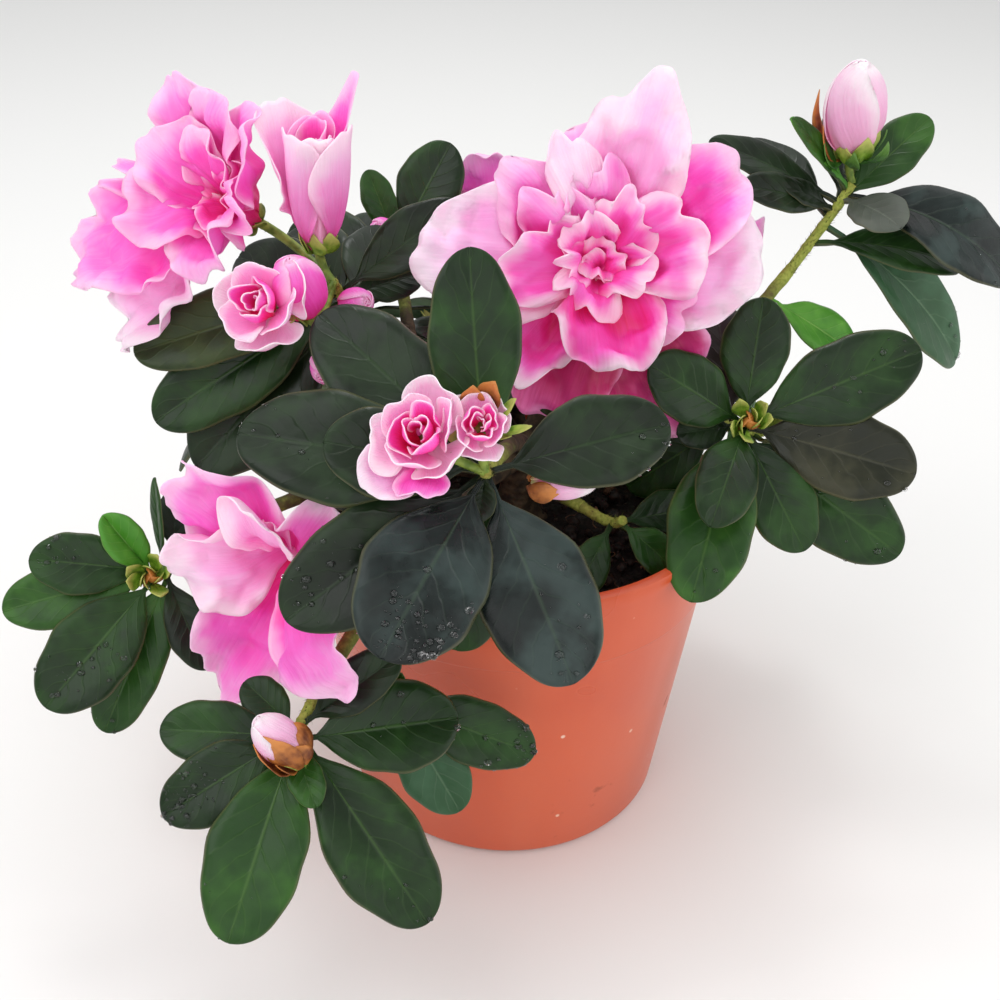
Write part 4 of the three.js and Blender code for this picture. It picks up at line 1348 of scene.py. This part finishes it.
def closed_bud(length, radius, clock, seed, tone="bud", furl=60):
    """Petals still furled round each other into a blunt point."""
    snug = {"cup": 1.0, "hug": True, "ruffle": 0.06, "frill": 0.0, "crumple": 0.06, "curl": -0.1}
    snug = {**snug, "notch": 0, "lap": radius * 0.09, "furl": furl, "narrow": 0.5, "grain": (26, 21)}
    snug = {**snug, "vary": 0.1, "tone": tone}
    fat = math.degrees(math.atan(radius / (length * 0.33)))
    outer = (fat * 1.25, 1, -fat * 1.15)
    inner = (fat * 1.0, 1, -fat * 0.95)
    wide = radius * 3.6
    return [
        *petal_ring(3, length * 1.12, wide, outer, clock, seed, foot=0.8, **snug),
        *petal_ring(3, length * 1.06, wide, inner, clock + 60, seed + 3, foot=0.1, **snug),
    ]


# Small buds beside the flowers' own: one lies half hidden under a leaf at the front, and three late ones
# stand round the shoot at the left.
HIDDEN_BUD = {"base": (2, -46, 104.5), "face": (82, 8)}
LATE_BUDS = [
    {"base": (-30, 35, 116.5), "face": (-24, 40)},
    {"base": (-36, -1, 116.5), "face": (50, 24)},
    {"base": (-38, -6, 108), "face": (-10, -10)},
]
PETALS = {
    "bud_front_large": [
        *rosette(5.7, 10, 21),
        petal(213, 12, 11, (70, 76, 60), ruffle=0.8, tone="pale", foot=1.5, grain=(24, 19)),
        petal(170, 11, 10, (70, 74, 50), ruffle=0.8, foot=1.5, grain=(24, 19)),
    ],
    "bud_front_small": [
        *rosette(3.8, 60, 31),
        wrapper(62, 8, 2.4, (70, 34, 10), 1.6, "bract"),
        wrapper(100, 8, 2.2, (74, 50, 20), 1.6, "bract"),
        wrapper(20, 8, 4.6, (70, 26, 10), 1.8, "scale"),
        wrapper(345, 7, 4.0, (70, 22, 10), 1.8, "scale"),
        *({**plan, **HIDDEN_BUD} for plan in closed_bud(11, 2.0, 0, 37)),
        *({**wrapper(90 * i, 6, 4, (66, 14, -6), 1.0, "scale"), **HIDDEN_BUD} for i in range(4)),
    ],
    "bud_left_open": rosette(6.2, 40, 41),
    "bud_left_closed": [
        *closed_bud(15, 4.8, 0, 47, tone="pink", furl=40),
        *({**plan, **place} for place in LATE_BUDS for plan in closed_bud(8, 3, 0, 43, tone="pink")),
    ],
    "bud_right_top": [
        *closed_bud(22, 6.2, 30, 51, furl=110),
        wrapper(232, 9, 5, (64, 32, 8), 1.8, "scale"),
        wrapper(262, 15, 3, (66, 24, -4), 2.0, "scale"),
        wrapper(130, 8, 5, (62, 28, 4), 1.8, "bract"),
        wrapper(180, 6, 5, (62, 28, 6), 1.8, "bract"),
        wrapper(80, 8, 4, (62, 30, 4), 1.6, "bract"),
        *(wrapper(52 * i, 7 + i % 3, 3, (84, 50, 10), 1.9, "green") for i in range(7)),
    ],
    "bud_front_low": [
        *closed_bud(11.5, 3.4, 0, 57),
        *(wrapper(72 * i, 8.6 + i % 2, 6.6, (68, 14, -20), 1.2 + i % 3 / 6, "scale") for i in range(5)),
        *(wrapper(90 * i + 30, 4.6, 4, (66, 26, -8), 1.7, "scale") for i in range(4)),
        wrapper(215, 4.4, 3, (70, 40, 10), 1.8, "bract"),
    ],
    "bloom_top": [
        petal(17, 42, 25, (24, 56, 66), ruffle=0.6, point=0.12, tone="pale"),
        petal(57, 40, 23, (24, 66, 88), ruffle=0.7),
        petal(88, 37, 29, (24, 70, 96), ruffle=0.6, tone="pale"),
        # The two low outer petals below lie in shade under the bloom's inner petals and a leaf; that shade
        # is painted into them as the deeper crimson tone.
        petal(150, 38, 30, (32, 100, 116), point=0.1, tone="crimson"),
        petal(199, 33, 28, (28, 88, 110), tone="crimson"),
        petal(274, 39, 32, (24, 70, 92), ruffle=0.9, tone="pale"),
        petal(310, 30, 24, (22, 62, 80), point=0.1),
        petal(344, 33, 16, (20, 52, 70), tone="pale"),
        petal(13, 36, 30, (18, 58, 78), **MIDDLE),
        petal(350, 30, 24, (17, 52, 70), **MIDDLE),
        petal(72, 31, 30, (16, 44, 68), **INNER),
        petal(118, 27, 22, (17, 58, 86), **MIDDLE),
        petal(170, 33, 24, (15, 40, 78), **INNER),
        petal(222, 30, 24, (20, 76, 102), **INNER),
        petal(276, 28, 28, (15, 42, 72), **INNER),
        petal(318, 29, 26, (16, 50, 74), **MIDDLE),
        petal(30, 28, 27, (14, 34, 62), **HEART),
        petal(110, 25, 25, (12, 28, 62), **HEART),
        petal(205, 25, 22, (12, 26, 68), **HEART),
        petal(255, 23, 23, (10, 22, 52), **HEART),
        petal(335, 25, 24, (11, 27, 58), **HEART),
        petal(60, 20, 21, (5, 12, 54), **HEART),
        petal(180, 19, 20, (5, 10, 60), **HEART),
        petal(310, 17, 18, (2, 4, 48), **HEART),
    ],
    "bloom_left_top": [
        petal(323, 28, 25, (22, 50, 62), point=0.2, notch=0.1, ruffle=0.6),
        petal(350, 27, 21, (20, 48, 60), ruffle=0.7),
        petal(28, 26, 21, (20, 48, 68), ruffle=0.8),
        petal(268, 23, 12, (20, 46, 70), point=0.4, ruffle=0.6),
        petal(254, 24, 12, (20, 52, 80), point=0.4, ruffle=0.6),
        petal(224, 38, 25, (24, 66, 92), ruffle=1.1),
        petal(198, 38, 21, (26, 78, 112), tone="pale", ruffle=0.7),
        petal(72, 21, 20, (16, 46, 74), **MIDDLE),
        petal(145, 22, 25, (14, 45, 76), **MIDDLE),
        petal(187, 15, 14, (12, 40, 72), **INNER),
        petal(242, 26, 24, (14, 42, 70), frill=0.4),
        petal(296, 26, 24, (14, 36, 56), frill=0.4),
        petal(350, 23, 20, (12, 32, 50), frill=0.5),
        *petal_ring(2, 15, 14, (4, 20, 44), 20, 101, **HEART),
    ],
    "bloom_half_open": [
        petal(315, 29, 22, (30, 14, 24), cup=0.7, ruffle=0.5, crumple=0.6, tone="pale"),
        petal(66, 27, 15, (26, 6, 10), cup=0.85, point=0.4, ruffle=0.4, crumple=0.3),
        petal(118, 27, 19, (34, 7, 2), foot=1.2, **TUBE),
        petal(180, 26, 21, (36, 6, -2), foot=1.5, **{**TUBE, "tone": "bud"}),
        petal(243, 27, 19, (34, 7, 2), foot=1.2, **TUBE),
        petal(0, 27, 18, (20, 4, 8), cup=0.85, ruffle=0.6, crumple=0.3),
        *petal_ring(3, 25, 12, (10, 2, 2), 150, 119, cup=0.9, ruffle=0.4, crumple=0.3, tone="rose"),
        wrapper(200, 6, 4.5, (62, 30, 0), 1.0, "bract"),
        wrapper(150, 6, 4.5, (62, 30, 0), 1.0, "bract"),
        wrapper(260, 6, 4.5, (62, 30, 0), 1.0, "bract"),
    ],
    "bloom_left": [
        petal(318, 32, 28, (26, 56, 84), notch=0.08, ruffle=0.8, frill=0.5, lap=2.5),
        petal(266, 27, 25, (26, 54, 78), ruffle=0.8, frill=0.5, lap=2.5, tone="pale"),
        petal(202, 32.5, 24, (26, 64, 88), point=0.16, ruffle=0.9, frill=0.6, lap=0.2),
        petal(121, 38, 21, (14, 26, 70), ruffle=0.5, point=0.14),
        petal(84, 28, 22, (26, 58, 90), ruffle=0.9, lap=2.5),
        petal(26, 26, 22, (22, 54, 86), ruffle=0.9, tone="rose", lap=2.5),
        petal(350, 31, 18, (18, 40, 62), cup=0.9, crumple=0.7, tone="pale"),
    ],
    "bloom_back": double_bloom(28, 131),
    "bloom_back_right": [
        petal(0, 28, 24, (22, 66, 92), point=0.1),
        petal(50, 28, 25, (22, 66, 92)),
        petal(100, 27, 22, (22, 62, 90), tone="pale"),
        petal(148, 18, 17, (16, 40, 60)),
        petal(205, 15, 15, (10, 24, 34)),
        petal(250, 15, 15, (10, 24, 34)),
        petal(305, 21, 19, (18, 50, 74)),
        *petal_ring(5, 15, 14, (10, 34, 58), 20, 151, **INNER),
        *petal_ring(4, 11, 11, (2, 16, 40), 60, 161, **HEART, **SMALL),
    ],
}


def petal_finish(name, stops, edge, rim_width):
    """Petal: from crimson at its foot through pink to its pale tip, in soft streaks, with a paler rim, and
    a faint glow in the same tint: painted light that stands in for light shining through the thin petal.
    """
    # Every petal gives off a faint light in its own tint (Emission Strength 0.06): a painted glow for the
    # light that shines through thin petals.
    skin = Finish(f"petal_{name}", Subsurface_Weight=0.45, Subsurface_Scale=0.002, Emission_Strength=0.06)
    skin.shader.inputs["Subsurface Radius"].default_value = (1.0, 0.5, 0.7)
    where = skin.node("ShaderNodeUVMap", {"uv_map": "blade"})
    u, v = skin.apart(where)
    over = v * 2 - 1
    up = u * 2 - 1
    rim = (over * over + up * up) ** 0.5
    streak = skin.mottle(1.0, 2.0, (2.2, 30, 1), where=where)
    drift = skin.mottle(120.0, 2.0)
    tone = skin.node("ShaderNodeAttribute", {"attribute_name": "age"}, output="Fac")
    along = u + (streak - 0.5) * 0.26 + (drift - 0.5) * 0.36 + (tone - 0.5) * 0.16
    stops = [(place, colour(code)) for place, code in stops]
    tint = skin.node("ShaderNodeValToRGB", {"stops": stops}, {"Fac": along})
    fade = (rim + (drift - 0.5) * 0.5).between(1.0 - rim_width, 1.08) * u.between(0.2, 0.6)
    tint = skin.blend(fade, tint, colour(edge))
    grain = skin.grain(streak * 0.8 + drift * 0.8 + skin.mottle(500.0, 2.0) * 0.3, 0.0005, 0.6)
    # The emission colour takes the petal's tint: this is the painted glow.
    painted_glow = {"Base Color": tint, "Emission Color": tint}
    skin.fill(skin.shader, {**painted_glow, "Roughness": 0.45 + drift * 0.2, "Normal": grain})
    return skin.material


PINK = [(0.08, "d80c4c"), (0.28, "ee2486"), (0.5, "f840b0"), (0.76, "fa66c6"), (1.0, "fc98d8")]
ROSE = [(0.16, "c80638"), (0.4, "e61c68"), (0.62, "f43aa0"), (0.85, "fa5ebc"), (1.0, "fd80ce")]
# The crimson tone is painted shade: a deeper crimson with only a thin pale rim, for petals that lie in
# shadow.
SHADE_CRIMSON = [(0.0, "7a0626"), (0.5, "a41044"), (0.8, "c62e74"), (1.0, "e45ca0")]
PALE = [(0.0, "ee408e"), (0.22, "f768ba"), (0.48, "fb90d0"), (0.8, "fdb4e2"), (1.0, "fdcae9")]
BUD = [(0.0, "cfc987"), (0.14, "ef9cc0"), (0.5, "f5a9d0"), (0.8, "f8c3de"), (1.0, "fbdbea")]
PETAL_TONES = {
    "pink": petal_finish("pink", PINK, "ffbce2", 0.3),
    "rose": petal_finish("rose", ROSE, "ffd6ec", 0.24),
    "pale": petal_finish("pale", PALE, "ffdaee", 0.45),
    "bud": petal_finish("bud", BUD, "fde6f1", 0.4),
    # The crimson finish is painted shade for the top bloom's shaded lower petals.
    "crimson": petal_finish("crimson", SHADE_CRIMSON, "f29cc6", 0.16),
    "scale": scale_finish("bud_scale", "6b3413", "a8632a", "c9803f", 0.4),
    "bract": scale_finish("bract", "5c8418", "92b83a", "b4b860", 0.45),
    "green": scale_finish("green_bract", "27501a", "3f7426", "5a8436", 0.4),
}
PETAL_PLACES = {tone: place for place, tone in enumerate(PETAL_TONES)}


def build_flower(name, order):
    flower = FLOWERS[name]
    heap = Heap()
    nest = Nest(flower["base"], flower["face"])
    petals = sorted(enumerate(PETALS[name]), key=lambda item: -sum(item[1]["opens"]))
    for number, plan in petals:
        seed = order * 31 + number * 1.9
        place = PETAL_PLACES[plan["tone"]]
        if "base" in plan:
            add_petal(heap, plan, plan["base"], plan["face"], seed, place)
        else:
            add_petal(heap, plan, flower["base"], flower["face"], seed, place, nest=nest)
    keep(heap.build(f"petals_{name}", list(PETAL_TONES.values())), "petal", name)


for order, name in enumerate(FLOWERS):
    build_flower(name, order)

# Leaf buds: where a shoot bears no flower, its tip holds next year's growth, three small brown scales in a
# tuft of yellow-green bracts. The small shoot low at the right has none.
BUDLESS = {"low_right", *(flower["shoot"] for flower in FLOWERS.values())}


def build_leaf_buds():
    tufts = Heap()
    for order, (name, shoot) in enumerate(SHOOTS.items()):
        if name in BUDLESS:
            continue
        base = tuple(PATHS[name][-1])
        seed = order * 7.3
        bracts = []
        for i in range(5):
            bracts.append(wrapper(chance(seed + i) * 50 + 72 * i, 6.5, 3.6, (60, 26, 14), 1.0, "bract"))
        for i in range(4):
            clock = chance(seed + 9 + i) * 60 + 90 * i
            bracts.append(wrapper(clock, 5.0, 3.0, (44, 8, -6), 0.8, "bract"))
        for number, plan in enumerate(bracts):
            add_petal(tufts, plan, base, shoot["face"], seed + number, 0, thickness=0.3)
        for number in range(3):
            plan = wrapper(120 * number + 40, 4.2, 3.4, (62, 4, -50), 0.2, "scale")
            add_petal(tufts, plan, base, shoot["face"], seed + 20 + number, 1, thickness=0.4)
    keep(tufts.build("leaf_buds", [PETAL_TONES["bract"], PETAL_TONES["scale"]]), "leaf")


build_leaf_buds()

# Water drops: the plant has just been sprayed, and clear round beads of water of many sizes lie on its
# leaves, close together where the spray gathered.
DROP_SIDES = 10
DROP_RINGS = 5
DROP_SINK = 0.12
BEADS_PER_DROP = 4


def drop_dome(radius, height):
    """A round dome of water, closed below by a shallow cone that sinks into the leaf."""
    points = []
    for ring in range(DROP_RINGS):
        rise = math.pi / 2 * ring / DROP_RINGS
        wide = radius * math.cos(rise)
        for side in range(DROP_SIDES):
            turn = math.tau * side / DROP_SIDES
            points.append((wide * math.cos(turn), wide * math.sin(turn), height * math.sin(rise)))
    count = len(points)
    points += [(0, 0, height), (0, 0, -DROP_SINK)]
    top = count - DROP_SIDES
    faces = []
    for ring in range(0, top, DROP_SIDES):
        for a in range(DROP_SIDES):
            b = (a + 1) % DROP_SIDES
            faces.append([ring + a, ring + b, ring + b + DROP_SIDES, ring + a + DROP_SIDES])
    for a in range(DROP_SIDES):
        b = (a + 1) % DROP_SIDES
        faces.append([top + a, top + b, count])
        faces.append([b, a, count + 1])
    return np.array(points), faces


def lay_drop(heap, grid, seed, bead):
    """One bead on a leaf, near one of the three places on its blade where the spray gathered."""
    rows, columns = grid.shape[:2]
    gathered = seed + (bead % 3) * 0.37
    seed = seed + bead * 1.13
    row = int(rows * (0.36 + 0.46 * chance(gathered) + 0.34 * (chance(seed) - 0.5)))
    column = int(columns * (0.2 + 0.6 * chance(gathered + 0.2) + 0.5 * (chance(seed + 0.41) - 0.5)))
    row = min(max(row, 1), rows - 2)
    column = min(max(column, 1), columns - 2)
    down = grid[row + 1, column] - grid[row - 1, column]
    side = grid[row, column + 1] - grid[row, column - 1]
    normal = Vector(np.cross(side, down)).normalized()
    share = chance(seed + 0.77)
    place = grid[row, column] * (1 - share) + grid[row, column + 1] * share
    radius = 0.14 + 0.6 * chance(seed + 0.19) ** 4
    points, faces = drop_dome(radius, radius * 0.75)
    turn = np.array(normal.to_track_quat("Z", "X").to_matrix())
    stretch = (1, 1 + 0.5 * chance(seed + 0.63), 1)
    heap.add((points * stretch) @ turn.T + place + np.array(normal) * BLADE_THICKNESS * 0.4, faces)


def build_drops():
    beads = Heap()
    for grid, count, seed in BLADES:
        for bead in range(count * BEADS_PER_DROP):
            lay_drop(beads, grid, seed * 3.1, bead)
    water = Finish("water", Transmission_Weight=1.0, IOR=1.4, Roughness=0.02)
    slight = water.mottle(900.0, 1.0)
    water.fill(water.shader, {"Normal": water.grain(slight, 0.00005, 0.2)})
    keep(beads.build("water_drops", [water.material]), "leaf")


build_drops()
